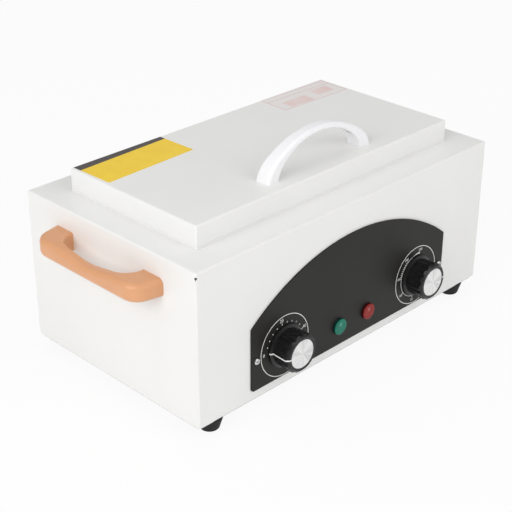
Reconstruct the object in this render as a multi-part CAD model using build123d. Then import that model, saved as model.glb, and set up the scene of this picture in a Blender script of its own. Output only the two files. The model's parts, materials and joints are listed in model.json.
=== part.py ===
from build123d import *
import os
from math import sqrt

# Dry heat sterilizer, in millimetres
# X runs to the right along the front, Y to the back and Z up. The origin is on the surface
# that the feet stand on, under the middle of the whole outline.

# Casing: one folded sheet with four walls, a ledge on top and return lips below
CASING_WIDTH = 360.0
CASING_DEPTH = 208.0
CASING_HEIGHT = 139.5
CASING_SHEET = 1.0
CASING_BEND = 1.6
CASING_LIP = 16.0
SEAM_GAP = 0.4
SEAM_STOP = 3.0
RELIEF_RADIUS = 1.1

# Base plate, its vents and the feet
BASE_SHEET = 1.2
BASE_INSET = 1.8
BASE_CORNER = 3.0
VENT_LENGTH = 58.0
VENT_WIDTH = 5.0
VENT_PITCH = 13.0
VENTS_PER_FIELD = 7
VENT_FIELD_X = 72.0
BASE_SCREW_X = 96.0
SHEET_SCREW_ENTRY = 2.4
LIP_SCREW_INSET = 8.0
FOOT_HEIGHT = 11.8
FOOT_TOP_RADIUS = 10.5
FOOT_BOTTOM_RADIUS = 9.2
FOOT_EDGE = 1.8
FOOT_INSET_X = 22.0
FOOT_INSET_Y = 11.8
FOOT_WELL_RADIUS = 4.8
FOOT_WELL_DEPTH = 6.0

# Chamber: a drawn tub whose flange lies on the ledge
CHAMBER_WIDTH = 280.0
CHAMBER_DEPTH = 126.0
CHAMBER_HEIGHT = 84.0
CHAMBER_SHEET = 0.8
CHAMBER_CORNER = 14.0
CHAMBER_FLOOR_BEND = 8.0
MOUTH_BEND = 0.7
FLANGE_MARGIN = 1.5
FLANGE_CORNER = 6.0
LEDGE_CLEARANCE = 1.6

# Instrument tray
TRAY_CLEARANCE = 2.0
TRAY_HEIGHT = 24.0
TRAY_SHEET = 0.8
TRAY_CORNER = 8.0
TRAY_FLOOR_BEND = 3.0
TRAY_RIM = 3.0
TRAY_SLOT_LENGTH = 22.0
TRAY_SLOT_WIDTH = 5.0
TRAY_SLOT_COLUMNS = 7
TRAY_SLOT_ROWS = 3
TRAY_SLOT_BORDER_X = 34.0
TRAY_SLOT_BORDER_Y = 27.0

# Lid: a pan with an inward hem, a liner that plugs into the mouth, and its handle
LID_OVERLAP_X = 14.0
LID_OVERLAP_Y = 13.8
LID_RISE = 20.5
LID_SHEET = 0.8
LID_BEND = 1.5
LID_HEM = 9.0
LINER_SHEET = 0.6
LINER_MARGIN = 3.5
PLUG_CLEARANCE = 1.6
PLUG_DEPTH = 8.0
PLUG_BEND = 2.0
LID_FILL_GAP = 0.3
LID_FILL_SIDE_GAP = 1.4
LID_FILL_TOP_GAP = 4.0

# Lid hinges: two rolled butt hinges on the rear ledge, behind the lid
HINGE_X = 100.0
HINGE_WIDTH = 44.0
HINGE_SHEET = 1.4
HINGE_PIN_RADIUS = 1.6
HINGE_PIN_END = 0.6
HINGE_KNUCKLES = 5
HINGE_KNUCKLE_GAP = 0.2
HINGE_CLEARANCE = 0.3
HINGE_LEAF = 14.0
HINGE_BASE_LEAF = 17.0
HINGE_RUNNING_FIT = 0.05
RIVET_RADIUS = 1.6
RIVET_HEAD_RADIUS = 2.8
RIVET_HEAD_HEIGHT = 0.9
RIVET_TAIL_HEIGHT = 0.8
LID_RIVET_X = 7.0
LID_RIVET_RISE = 9.0
BASE_RIVET_X = 14.0
BASE_RIVET_REACH = 11.0

# Lid handle
LID_HANDLE_SETBACK = 20.4
LID_HANDLE_HALF_SPAN = 63.5
LID_HANDLE_RISE = 33.4
LID_HANDLE_CROWN = 4.2
LID_HANDLE_FOOT = 13.0
LID_HANDLE_SHOULDER_ACROSS = 0.73
LID_HANDLE_SHOULDER_UP = 0.62
LID_HANDLE_FOOT_WIDTH = 15.6
LID_HANDLE_WAIST_WIDTH = 12.0
LID_HANDLE_ROUND = 3.0
LID_HANDLE_EDGE = 0.8
LID_HANDLE_GROOVE_WIDTH = 6.5
LID_HANDLE_GROOVE_DEPTH = 2.0
LID_HANDLE_GROOVE_START = 13.0
LID_HANDLE_SCREW_DEPTH = 10.0

# Side handles: moulded bows with two legs on the end walls
HANDLE_LENGTH = 134.6
HANDLE_REACH = 26.0
HANDLE_SPLAY = 5.3
HANDLE_GRIP = 9.5
HANDLE_LEG = 23.8
HANDLE_OUTER_CORNER = 16.0
HANDLE_INNER_CORNER = 15.0
HANDLE_BELOW_TOP = 18.5
HANDLE_HEIGHT = 16.5
HANDLE_WAIST_DIP = 4.6
HANDLE_ROUND = 5.0
HANDLE_EDGE = 1.5
HANDLE_SCREW_DEPTH = 12.0

# Control panel, in the front wall's own X and height above the casing's bottom edge
PANEL_WIDTH = 246.6
PANEL_BOTTOM = 9.2
PANEL_SHOULDER = 67.6
PANEL_CROWN = 111.8
PANEL_THICKNESS = 1.5
PANEL_CORNER = 3.0
PANEL_SCREW_INSET = 5.3
PANEL_SCREW_Z = 37.0
DIAL_INSET = 38.3
DIAL_Z = 38.0
LAMP_X = 18.5
LAMP_Z = 28.0

# Knobs: skirt, fluted grip, raised pointer and a spun disc in the face
KNOB_GAP = 0.6
KNOB_HEIGHT = 19.4
KNOB_GRIP_RADIUS = 17.4
KNOB_SKIRT = 1.8
KNOB_SKIRT_HEIGHT = 1.3
KNOB_SKIRT_SLOPE = 0.9
KNOB_TAPER = 0.8
KNOB_SHOULDER = 2.2
KNOB_FLUTES = 14
KNOB_FLUTE_RADIUS = 4.2
KNOB_FLUTE_DEPTH = 1.1
KNOB_FLUTE_START = 3.4
KNOB_WALL = 2.6
KNOB_FACE = 5.4
KNOB_HUB_RADIUS = 5.6
KNOB_HUB_RECESS = 2.6
KNOB_POINTER_WIDTH = 1.5
KNOB_POINTER_RISE = 0.35
DISC_BORDER = 4.3
DISC_RECESS = 0.9
DISC_RIM = 0.3
DISC_BEVEL = 0.6
DISC_CLEARANCE = 0.1
TIMER_POINTER_ANGLE = 180.0
TEMPERATURE_POINTER_ANGLE = 0.0

# Shafts, thermostat and timer
SHAFT_RADIUS = 3.0
SHAFT_FLAT = 2.3
SHAFT_CLEARANCE = 0.08
SHAFT_END_GAP = 1.4
BUSH_RADIUS = 5.0
BUSH_STAND = 0.4
HOLE_CLEARANCE = 0.3
CONTROL_PLATE = 1.5
CONTROL_TAP_DEPTH = 8.0
THERMOSTAT_WIDTH = 36.0
THERMOSTAT_HEIGHT = 36.0
THERMOSTAT_DEPTH = 26.0
TIMER_WIDTH = 44.0
TIMER_DEPTH = 28.0
THERMOSTAT_STEP = 3.0
TIMER_STEP = 2.0
SHAFT_DEPTH = 14.0
SHAFT_BORE_END = 2.0
TAB_LENGTH = 7.0
TAB_WIDTH = 6.3
TAB_THICKNESS = 0.8

# Signal lamps
LAMP_RADIUS = 7.4
LAMP_RISE = 3.0
LAMP_EDGE = 1.2
LAMP_STEM_RADIUS = 4.9
LAMP_STEM_LENGTH = 9.0
LAMP_STEM_WALL = 1.2
LAMP_BODY_RADIUS = 6.4
LAMP_BODY_LENGTH = 19.0
LAMP_TAB_SPREAD = 2.6

# Tubular element, its clamps, the shield and the insulation
ELEMENT_RADIUS = 3.5
ELEMENT_END_MARGIN = 22.0
ELEMENT_SIDE_MARGIN = 24.0
ELEMENT_RUNS = 4
ELEMENT_COLD_END = 18.0
ELEMENT_PIN_RADIUS = 1.6
ELEMENT_PIN_LENGTH = 8.0
ELEMENT_GAP = 0.2
CLAMP_INSET = 38.0
CLAMP_WIDTH = 10.0
CLAMP_OVERHANG = 9.0
CLAMP_SHEET = 1.2
STUD_RADIUS = 2.0
STUD_END = 1.0
NUT_FLATS = 7.0
NUT_HEIGHT = 3.2
SHIELD_MARGIN_X = 10.0
SHIELD_MARGIN_Y = 15.0
SHIELD_SHEET = 0.8
SHIELD_BEND = 2.0
SHIELD_FLANGE = 12.0
SHIELD_SCREW_INSET = 16.0
PAD_MARGIN = 5.0
PAD_THICKNESS = 8.0
PAD_CORNER = 4.0
PAD_GAP = 1.9
BLANKET_THICKNESS = 7.5
BLANKET_GAP = 0.3
BLANKET_START = 9.5
BLANKET_TOP_GAP = 2.0
BULB_RADIUS = 3.0
CAPILLARY_RADIUS = 1.0
CAPILLARY_BEND = 4.0
CAPILLARY_SIDE_GAP = 9.0
CAPILLARY_RUN_OUT = 12.0
CAPILLARY_DROP = 7.4
CAPILLARY_ENTRY_ABOVE_DIAL = -1.0
BULB_CLIP_X = 22.0
BULB_CLIP_WIDTH = 6.0
BULB_CLIP_FOOT = 4.5
BULB_CLIP_SHEET = 0.6
BULB_CLIP_GAP = 0.1
CUTOUT_RADIUS = 7.5
CUTOUT_HEIGHT = 9.0
CUTOUT_FLANGE = 0.8
CUTOUT_FLANGE_STEP = 1.2
CUTOUT_TAB_SPREAD = 3.4

# Power inlet in the rear wall, and the terminal block on the base plate
INLET_FROM_END = 68.0
INLET_Z = 34.0
INLET_FLANGE_WIDTH = 50.0
INLET_FLANGE_HEIGHT = 25.0
INLET_FLANGE_THICKNESS = 2.4
INLET_FLANGE_CORNER = 5.0
INLET_FLANGE_EDGE = 0.8
INLET_BODY_WIDTH = 27.6
INLET_BODY_HEIGHT = 20.0
INLET_BODY_DEPTH = 19.0
INLET_WALL = 1.5
INLET_CHAMFER = 4.0
INLET_FLOOR = 2.5
INLET_SCREW_SPREAD = 20.0
PIN_WIDTH = 2.0
PIN_HEIGHT = 4.0
PIN_LENGTH = 16.0
PIN_SPREAD = 7.0
PIN_OFFSET = 2.0
BLOCK_X = 60.0
BLOCK_LENGTH = 38.0
BLOCK_DEPTH = 16.0
BLOCK_HEIGHT = 15.0
BLOCK_LIP_GAP = 1.0
BLOCK_WAYS = 3
BLOCK_CORNER = 1.5
BLOCK_WIRE_RADIUS = 2.0
BLOCK_WIRE_Z = 9.3
BLOCK_WELL_RADIUS = 1.9
BLOCK_WELL_DEPTH = 4.5

# Screws: radius of the shank, by thread
M3 = 1.5
M4 = 2.0
HEAD_RATIO = 1.9
HEAD_HEIGHT_RATIO = 1.15
FIT = 0.05

# Sizes that follow from the ones above
LID_WIDTH = CHAMBER_WIDTH + 2 * LID_OVERLAP_X
LID_DEPTH = CHAMBER_DEPTH + 2 * LID_OVERLAP_Y
FLANGE_WIDTH = LID_WIDTH - 2 * FLANGE_MARGIN
FLANGE_DEPTH = LID_DEPTH - 2 * FLANGE_MARGIN
DIAL_X = PANEL_WIDTH / 2 - DIAL_INSET
PANEL_SCREW_X = PANEL_WIDTH / 2 - PANEL_SCREW_INSET
KNOB_SKIRT_RADIUS = KNOB_GRIP_RADIUS + KNOB_SKIRT
KNOB_WAIST_RADIUS = KNOB_GRIP_RADIUS - KNOB_TAPER
KNOB_CAVITY_RADIUS = KNOB_GRIP_RADIUS - KNOB_WALL
KNOB_CAVITY_DEPTH = KNOB_HEIGHT - KNOB_FACE
DISC_SEAT_RADIUS = KNOB_GRIP_RADIUS - DISC_BORDER
CONTROL_SCREW_SPREAD = (KNOB_HUB_RADIUS + KNOB_CAVITY_RADIUS) / 2
ELEMENT_PITCH = (CHAMBER_DEPTH - 2 * ELEMENT_SIDE_MARGIN) / (ELEMENT_RUNS - 1)
ELEMENT_END = CHAMBER_WIDTH / 2 - ELEMENT_END_MARGIN
ELEMENT_HALF_RUN = ELEMENT_END - ELEMENT_COLD_END
CLAMP_X = ELEMENT_HALF_RUN - CLAMP_INSET
CAPILLARY_X = CLAMP_X - CLAMP_WIDTH / 2 - CAPILLARY_SIDE_GAP
BULB_LENGTH = 2 * (CAPILLARY_X - CAPILLARY_RUN_OUT)
SHIELD_WIDTH = 2 * (ELEMENT_END + SHIELD_MARGIN_X)
SHIELD_DEPTH = CHAMBER_DEPTH - 2 * (ELEMENT_SIDE_MARGIN - SHIELD_MARGIN_Y)
HINGE_KNUCKLE_RADIUS = HINGE_PIN_RADIUS + HINGE_SHEET
HINGE_KNUCKLE_PITCH = HINGE_WIDTH / HINGE_KNUCKLES
LID_HANDLE_INNER_HALF_SPAN = LID_HANDLE_HALF_SPAN - LID_HANDLE_FOOT
LID_HANDLE_FOOT_X = LID_HANDLE_HALF_SPAN - LID_HANDLE_FOOT / 2
HANDLE_LEG_INNER = HANDLE_LENGTH / 2 - HANDLE_LEG
HANDLE_SCREW_Y = HANDLE_LENGTH / 2 - HANDLE_LEG / 2

# Levels and places that follow
CASING_BOTTOM = FOOT_HEIGHT + BASE_SHEET
CASING_TOP = CASING_BOTTOM + CASING_HEIGHT
FLANGE_TOP = CASING_TOP + CHAMBER_SHEET
CHAMBER_FLOOR = FLANGE_TOP - CHAMBER_HEIGHT
CHAMBER_UNDERSIDE = CHAMBER_FLOOR - CHAMBER_SHEET
LID_BOTTOM = FLANGE_TOP + LINER_SHEET
LID_TOP = CASING_TOP + LID_RISE
ELEMENT_Z = CHAMBER_UNDERSIDE - ELEMENT_GAP - ELEMENT_RADIUS
CLAMP_TOP = ELEMENT_Z - ELEMENT_RADIUS
STUD_BOTTOM = CLAMP_TOP - CLAMP_SHEET - NUT_HEIGHT - STUD_END
SHIELD_TOP = STUD_BOTTOM - PAD_GAP - PAD_THICKNESS
HANDLE_TOP = CASING_HEIGHT - HANDLE_BELOW_TOP
HANDLE_BOTTOM = HANDLE_TOP - HANDLE_HEIGHT
KNOB_BACK = PANEL_THICKNESS + KNOB_GAP
FRONT_REACH = KNOB_BACK + KNOB_HEIGHT
REAR_REACH = INLET_FLANGE_THICKNESS + HEAD_HEIGHT_RATIO * M3
MIDDLE_Y = (FRONT_REACH - REAR_REACH) / 2
FRONT_Y = MIDDLE_Y - CASING_DEPTH / 2
REAR_Y = MIDDLE_Y + CASING_DEPTH / 2
WALL_X = CASING_WIDTH / 2
INLET_X = INLET_FROM_END - WALL_X
LID_REAR_Y = MIDDLE_Y + LID_DEPTH / 2
LID_HANDLE_Y = MIDDLE_Y - LID_DEPTH / 2 + LID_HANDLE_SETBACK
HINGE_Y = LID_REAR_Y + HINGE_CLEARANCE + HINGE_KNUCKLE_RADIUS
HINGE_Z = CASING_TOP + HINGE_KNUCKLE_RADIUS

# The front and rear walls' outer faces as working planes: x along the wall, y up, z outwards
FRONT = Plane(origin=(0, FRONT_Y, CASING_BOTTOM), x_dir=(1, 0, 0), z_dir=(0, -1, 0))
REAR = Plane(origin=(0, REAR_Y, CASING_BOTTOM), x_dir=(-1, 0, 0), z_dir=(0, 1, 0))
STANDING = (Align.CENTER, Align.CENTER, Align.MIN)
HANGING = (Align.CENTER, Align.CENTER, Align.MAX)
CORNERS = [(-1, -1), (1, -1), (-1, 1), (1, 1)]


# Shared shapes

def plate(width, depth, corner, bottom, top):
    """A rounded rectangle round the middle of the casing, between two heights."""
    outline = Pos(0, MIDDLE_Y, bottom) * RectangleRounded(width, depth, corner)
    return extrude(outline, amount=top - bottom)


def block(x, y, z):
    """A box between two values along each axis."""
    size = Box(x[1] - x[0], y[1] - y[0], z[1] - z[0])
    return Pos((x[0] + x[1]) / 2, (y[0] + y[1]) / 2, (z[0] + z[1]) / 2) * size


def pillar(x, y, bottom, top, radius):
    """An upright cylinder between two heights."""
    return Pos(x, y, bottom) * Cylinder(radius, top - bottom, align=STANDING)


def group(shapes):
    """Separate solids that share one node."""
    return Compound([solid for shape in shapes for solid in shape.solids()])


def pan_screw(shank, length):
    """A pan-head screw: head above z = 0, shank below it."""
    head_height = HEAD_HEIGHT_RATIO * shank
    head = Cylinder(HEAD_RATIO * shank, head_height, align=STANDING)
    head = chamfer(head.edges().group_by(Axis.Z)[-1], head_height * 0.35)
    return head + Cylinder(shank, length, align=HANGING)


def cross_screw(shank, length):
    """A pan-head screw with its cross recess, for the places in plain view."""
    slot = Box(HEAD_RATIO * shank * 1.15, shank * 0.35, HEAD_HEIGHT_RATIO * shank * 0.5, align=HANGING)
    cross = Pos(0, 0, HEAD_HEIGHT_RATIO * shank) * (slot + Rot(0, 0, 90) * slot)
    return pan_screw(shank, length) - cross


def hex_nut(thread):
    """A nut that stands on z = 0."""
    outline = RegularPolygon(NUT_FLATS / 2, 6, major_radius=False) - Circle(thread + FIT)
    return extrude(outline, amount=NUT_HEIGHT)


def foot_places():
    """The four feet: name, X and Y."""
    names = ["foot_front_left", "foot_front_right", "foot_rear_left", "foot_rear_right"]
    for name, (side, end) in zip(names, CORNERS):
        x = side * (CASING_WIDTH / 2 - FOOT_INSET_X)
        y = MIDDLE_Y + end * (CASING_DEPTH / 2 - FOOT_INSET_Y)
        yield name, x, y


def base_screw_places():
    """Screws that join the base plate to the casing's lips."""
    long_y = CASING_DEPTH / 2 - LIP_SCREW_INSET
    end_x = CASING_WIDTH / 2 - LIP_SCREW_INSET
    places = [(side * BASE_SCREW_X, MIDDLE_Y + end * long_y) for side, end in CORNERS]
    return places + [(-end_x, MIDDLE_Y), (end_x, MIDDLE_Y)]


def shield_screw_places():
    """Screws through the heat shield's flanges."""
    flange_x = SHIELD_WIDTH / 2 + SHIELD_FLANGE / 2
    screw_y = SHIELD_DEPTH / 2 - SHIELD_SCREW_INSET
    return [(side * flange_x, MIDDLE_Y + end * screw_y) for side, end in CORNERS]


def base_rivet_places():
    """Rivets through the hinges' lower leaves and the rear ledge."""
    return [(hinge * HINGE_X + side * BASE_RIVET_X, HINGE_Y + BASE_RIVET_REACH)
            for hinge in (-1, 1) for side in (-1, 1)]


def lid_rivet_places():
    """Rivets through the hinges' upper leaves and the lid's rear wall, as X and height."""
    return [(hinge * HINGE_X + side * LID_RIVET_X, HINGE_Z + LID_RIVET_RISE)
            for hinge in (-1, 1) for side in (-1, 1)]


def block_screw_place():
    """The one screw that holds the terminal block."""
    return BLOCK_X, REAR_Y - CASING_LIP - BLOCK_LIP_GAP - BLOCK_DEPTH / 2


def control_screw_places(x):
    """The two screws under a knob, on the front wall's plane."""
    return [(x - CONTROL_SCREW_SPREAD, DIAL_Z), (x + CONTROL_SCREW_SPREAD, DIAL_Z)]


def front_holes(depth, panel_screw_radius):
    """Cutters for what passes through the front wall and the panel."""
    holes = []
    for x in (-DIAL_X, DIAL_X):
        holes.append(Pos(x, DIAL_Z) * Cylinder(BUSH_RADIUS + HOLE_CLEARANCE, depth))
        for screw_x, screw_z in control_screw_places(x):
            holes.append(Pos(screw_x, screw_z) * Cylinder(M3 + HOLE_CLEARANCE, depth))
    for x in (-LAMP_X, LAMP_X):
        holes.append(Pos(x, LAMP_Z) * Cylinder(LAMP_STEM_RADIUS + FIT, depth))
    for x in (-PANEL_SCREW_X, PANEL_SCREW_X):
        holes.append(Pos(x, PANEL_SCREW_Z) * Cylinder(panel_screw_radius, depth))
    return [FRONT * hole for hole in holes]


# Casing, base and feet

def corner_seams():
    """Open mitred seams down the four corners, each with a relief hole where the folds meet."""
    cuts = []
    reach = sqrt(2) * CASING_LIP + 1
    seam_top = CASING_TOP - CASING_BEND - SEAM_STOP
    for side, end in CORNERS:
        x, y = side * CASING_WIDTH / 2, MIDDLE_Y + end * CASING_DEPTH / 2
        seam = Box(2 * reach, SEAM_GAP, seam_top - CASING_BOTTOM + 1, align=STANDING)
        cuts.append(Pos(x, y, CASING_BOTTOM - 1) * Rot(0, 0, 45 * side * end) * seam)
        hole_plane = Plane(origin=(x, y, seam_top), z_dir=(side, end, 0))
        cuts.append(hole_plane * Cylinder(RELIEF_RADIUS, 4 * CASING_BEND))
    return cuts


def handle_screw_holes():
    """Clearance holes for the side handle screws, through both end walls."""
    z = CASING_BOTTOM + (HANDLE_BOTTOM + HANDLE_TOP) / 2
    across = Rot(0, 90, 0) * Cylinder(M4 + HOLE_CLEARANCE, CASING_WIDTH + 10)
    return [Pos(0, MIDDLE_Y + y, z) * across for y in (-HANDLE_SCREW_Y, HANDLE_SCREW_Y)]


def outer_casing():
    sheet = CASING_SHEET
    outer = Box(CASING_WIDTH, CASING_DEPTH, CASING_HEIGHT, align=STANDING)
    outer = fillet(outer.edges(), CASING_BEND)
    inner = Box(CASING_WIDTH - 2 * sheet, CASING_DEPTH - 2 * sheet, CASING_HEIGHT - 2 * sheet,
                align=STANDING)
    inner = Pos(0, 0, sheet) * fillet(inner.edges(), CASING_BEND - sheet)
    shell = Pos(0, MIDDLE_Y, CASING_BOTTOM) * (outer - inner)
    cuts = corner_seams() + handle_screw_holes() + front_holes(4 * sheet, M3)
    cuts.append(plate(CASING_WIDTH - 2 * CASING_LIP, CASING_DEPTH - 2 * CASING_LIP, 2.0,
                      CASING_BOTTOM - 1, CASING_BOTTOM + 2 * sheet))
    mouth = 2 * (CHAMBER_SHEET + LEDGE_CLEARANCE)
    cuts.append(plate(CHAMBER_WIDTH + mouth, CHAMBER_DEPTH + mouth, CHAMBER_CORNER,
                      CASING_TOP - 2 * sheet, CASING_TOP + 1))
    inlet = Box(INLET_BODY_WIDTH + HOLE_CLEARANCE, INLET_BODY_HEIGHT + HOLE_CLEARANCE, 4 * sheet)
    cuts.append(REAR * Pos(-INLET_X, INLET_Z) * inlet)
    for spread in (-INLET_SCREW_SPREAD, INLET_SCREW_SPREAD):
        cuts.append(REAR * Pos(-INLET_X + spread, INLET_Z) * Cylinder(M3, 4 * sheet))
    for x, y in base_screw_places():
        cuts.append(pillar(x, y, CASING_BOTTOM - 1, CASING_BOTTOM + 2 * sheet, M3 + FIT))
    for _, x, y in foot_places():
        cuts.append(pillar(x, y, CASING_BOTTOM - 1, CASING_BOTTOM + 2 * sheet, M4 + FIT))
    for x, y in base_rivet_places():
        cuts.append(pillar(x, y, CASING_TOP - 2 * sheet, CASING_TOP + 1, RIVET_RADIUS))
    return shell - cuts


def base_plate():
    body = plate(CASING_WIDTH - 2 * BASE_INSET, CASING_DEPTH - 2 * BASE_INSET, BASE_CORNER,
                 FOOT_HEIGHT, CASING_BOTTOM)
    cuts = []
    slot = extrude(SlotOverall(VENT_LENGTH, VENT_WIDTH, rotation=90), amount=4 * BASE_SHEET)
    for field_x in (-VENT_FIELD_X, VENT_FIELD_X):
        for step in range(VENTS_PER_FIELD):
            x = field_x + (step - (VENTS_PER_FIELD - 1) / 2) * VENT_PITCH
            cuts.append(Pos(x, MIDDLE_Y, FOOT_HEIGHT - BASE_SHEET) * slot)
    for _, x, y in foot_places():
        cuts.append(pillar(x, y, FOOT_HEIGHT - 1, CASING_BOTTOM + 1, M4 + FIT))
    for x, y in base_screw_places() + shield_screw_places() + [block_screw_place()]:
        cuts.append(pillar(x, y, FOOT_HEIGHT - 1, CASING_BOTTOM + 1, M3 + FIT))
    return body - cuts


def rubber_foot():
    """A tapered foot with a well for its screw head, standing on z = 0."""
    body = Cone(FOOT_BOTTOM_RADIUS, FOOT_TOP_RADIUS, FOOT_HEIGHT, align=STANDING)
    body = fillet(body.edges().group_by(Axis.Z)[0], FOOT_EDGE)
    well = Cylinder(FOOT_WELL_RADIUS, FOOT_WELL_DEPTH, align=STANDING)
    return body - well - Cylinder(M4 + FIT, FOOT_HEIGHT, align=STANDING)


def foot_screws():
    head_up = Pos(0, 0, FOOT_WELL_DEPTH) * Rot(180, 0, 0)
    length = CASING_BOTTOM + CASING_SHEET + NUT_HEIGHT + STUD_END - FOOT_WELL_DEPTH
    screw = head_up * pan_screw(M4, length)
    return group([Pos(x, y) * screw for _, x, y in foot_places()])


def foot_nuts():
    nut = hex_nut(M4)
    level = CASING_BOTTOM + CASING_SHEET
    return group([Pos(x, y, level) * nut for _, x, y in foot_places()])


def base_screws():
    """Screws up through the base plate: lips, heat shield and terminal block."""
    length = BASE_SHEET + CASING_SHEET + SHEET_SCREW_ENTRY
    screw = Pos(0, 0, FOOT_HEIGHT) * Rot(180, 0, 0) * pan_screw(M3, length)
    places = base_screw_places() + shield_screw_places() + [block_screw_place()]
    return group([Pos(x, y) * screw for x, y in places])


# Chamber, tray and lid

def inner_chamber():
    sheet = CHAMBER_SHEET
    floor_bend = CHAMBER_FLOOR_BEND
    tub = plate(CHAMBER_WIDTH + 2 * sheet, CHAMBER_DEPTH + 2 * sheet, CHAMBER_CORNER + sheet,
                CHAMBER_UNDERSIDE, CASING_TOP)
    tub = fillet(tub.edges().group_by(Axis.Z)[0], floor_bend + sheet)
    hollow = plate(CHAMBER_WIDTH, CHAMBER_DEPTH, CHAMBER_CORNER, CHAMBER_FLOOR, FLANGE_TOP + 1)
    hollow = fillet(hollow.edges().group_by(Axis.Z)[0], floor_bend)
    flange = plate(FLANGE_WIDTH, FLANGE_DEPTH, FLANGE_CORNER, CASING_TOP, FLANGE_TOP)
    body = tub + flange - hollow
    mouth_edges = body.faces().filter_by(Axis.Z).group_by(Axis.Z)[-1].edges()
    mouth_edges = [edge for edge in mouth_edges if is_mouth_edge(edge)]
    body = fillet(mouth_edges, MOUTH_BEND)
    studs = [pillar(side * CLAMP_X, MIDDLE_Y + end * ELEMENT_PITCH, STUD_BOTTOM,
                    CHAMBER_FLOOR - sheet / 2, STUD_RADIUS) for side, end in CORNERS]
    return body + studs


def is_mouth_edge(edge):
    middle = edge.center()
    inside_x = abs(middle.X) < CHAMBER_WIDTH / 2 + 0.1
    inside_y = abs(middle.Y - MIDDLE_Y) < CHAMBER_DEPTH / 2 + 0.1
    return inside_x and inside_y


def instrument_tray():
    width = CHAMBER_WIDTH - 2 * (CHAMBER_FLOOR_BEND + TRAY_CLEARANCE)
    depth = CHAMBER_DEPTH - 2 * (CHAMBER_FLOOR_BEND + TRAY_CLEARANCE)
    sheet = TRAY_SHEET
    top = CHAMBER_FLOOR + TRAY_HEIGHT
    body = plate(width, depth, TRAY_CORNER, CHAMBER_FLOOR, top)
    body = fillet(body.edges().group_by(Axis.Z)[0], TRAY_FLOOR_BEND)
    rim = plate(width + 2 * TRAY_RIM, depth + 2 * TRAY_RIM, TRAY_CORNER + TRAY_RIM, top - sheet, top)
    hollow = plate(width - 2 * sheet, depth - 2 * sheet, TRAY_CORNER - sheet,
                   CHAMBER_FLOOR + sheet, top + 1)
    hollow = fillet(hollow.edges().group_by(Axis.Z)[0], TRAY_FLOOR_BEND - sheet)
    slot = extrude(SlotOverall(TRAY_SLOT_LENGTH, TRAY_SLOT_WIDTH), amount=4 * sheet)
    pitch_x = (width - 2 * TRAY_SLOT_BORDER_X) / (TRAY_SLOT_COLUMNS - 1)
    pitch_y = (depth - 2 * TRAY_SLOT_BORDER_Y) / (TRAY_SLOT_ROWS - 1)
    cuts = []
    for column in range(TRAY_SLOT_COLUMNS):
        for row in range(TRAY_SLOT_ROWS):
            x = (column - (TRAY_SLOT_COLUMNS - 1) / 2) * pitch_x
            y = MIDDLE_Y + (row - (TRAY_SLOT_ROWS - 1) / 2) * pitch_y
            cuts.append(Pos(x, y, CHAMBER_FLOOR - sheet) * slot)
    return body + rim - hollow - cuts


def lid_shell():
    height = LID_TOP - LID_BOTTOM
    sheet = LID_SHEET
    outer = Box(LID_WIDTH, LID_DEPTH, height, align=STANDING)
    outer = fillet(outer.edges(), LID_BEND)
    inner = Box(LID_WIDTH - 2 * sheet, LID_DEPTH - 2 * sheet, height - 2 * sheet, align=STANDING)
    inner = Pos(0, 0, sheet) * fillet(inner.edges(), LID_BEND - sheet)
    shell = Pos(0, MIDDLE_Y, LID_BOTTOM) * (outer - inner)
    mouth = plate(LID_WIDTH - 2 * LID_HEM, LID_DEPTH - 2 * LID_HEM, 2.0,
                  LID_BOTTOM - 1, LID_BOTTOM + 2 * sheet)
    holes = [pillar(x, LID_HANDLE_Y, LID_TOP - 2 * sheet, LID_TOP + 1, M4 + FIT)
             for x in (-LID_HANDLE_FOOT_X, LID_HANDLE_FOOT_X)]
    across = Rot(90, 0, 0) * Cylinder(RIVET_RADIUS, 4 * sheet)
    holes += [Pos(x, LID_REAR_Y, z) * across for x, z in lid_rivet_places()]
    return shell - mouth - holes


def lid_liner():
    """A stainless pan: its flange is welded under the hem, its plug hangs in the mouth."""
    width = CHAMBER_WIDTH - 2 * PLUG_CLEARANCE
    depth = CHAMBER_DEPTH - 2 * PLUG_CLEARANCE
    corner = CHAMBER_CORNER - PLUG_CLEARANCE
    sheet = LINER_SHEET
    plug = plate(width, depth, corner, LID_BOTTOM - PLUG_DEPTH, LID_BOTTOM)
    plug = fillet(plug.edges().group_by(Axis.Z)[0], PLUG_BEND)
    hollow = plate(width - 2 * sheet, depth - 2 * sheet, corner - sheet,
                   LID_BOTTOM - PLUG_DEPTH + sheet, LID_BOTTOM + 1)
    hollow = fillet(hollow.edges().group_by(Axis.Z)[0], PLUG_BEND - sheet)
    flange = plate(LID_WIDTH - 2 * LINER_MARGIN, LID_DEPTH - 2 * LINER_MARGIN, 3.0,
                   FLANGE_TOP, LID_BOTTOM)
    return plug + flange - hollow


def lid_insulation():
    """The blanket between the liner and the shell."""
    gap = LID_FILL_GAP
    side = 2 * (LID_SHEET + LID_FILL_SIDE_GAP)
    slab = plate(LID_WIDTH - side, LID_DEPTH - side, 1.0, LID_BOTTOM + LID_SHEET + gap,
                 LID_TOP - LID_SHEET - LID_FILL_TOP_GAP)
    edge = PLUG_CLEARANCE + LINER_SHEET + gap
    plug = plate(CHAMBER_WIDTH - 2 * edge, CHAMBER_DEPTH - 2 * edge, CHAMBER_CORNER - edge,
                 LID_BOTTOM - PLUG_DEPTH + LINER_SHEET + gap, LID_BOTTOM + LID_SHEET + 1)
    plug = fillet(plug.edges().group_by(Axis.Z)[0], PLUG_BEND - LINER_SHEET)
    return slab + plug


def arch(rise, half_span):
    """Both halves of an arch on the plane of X and height, each from the crown to a foot."""
    shoulder = (LID_HANDLE_SHOULDER_ACROSS * half_span, LID_HANDLE_SHOULDER_UP * rise)
    right = Spline([(0, rise), shoulder, (half_span, 0)], tangents=[(1, 0), (0.2, -1)])
    return [right, mirror(right, about=Plane.YZ)]


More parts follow.
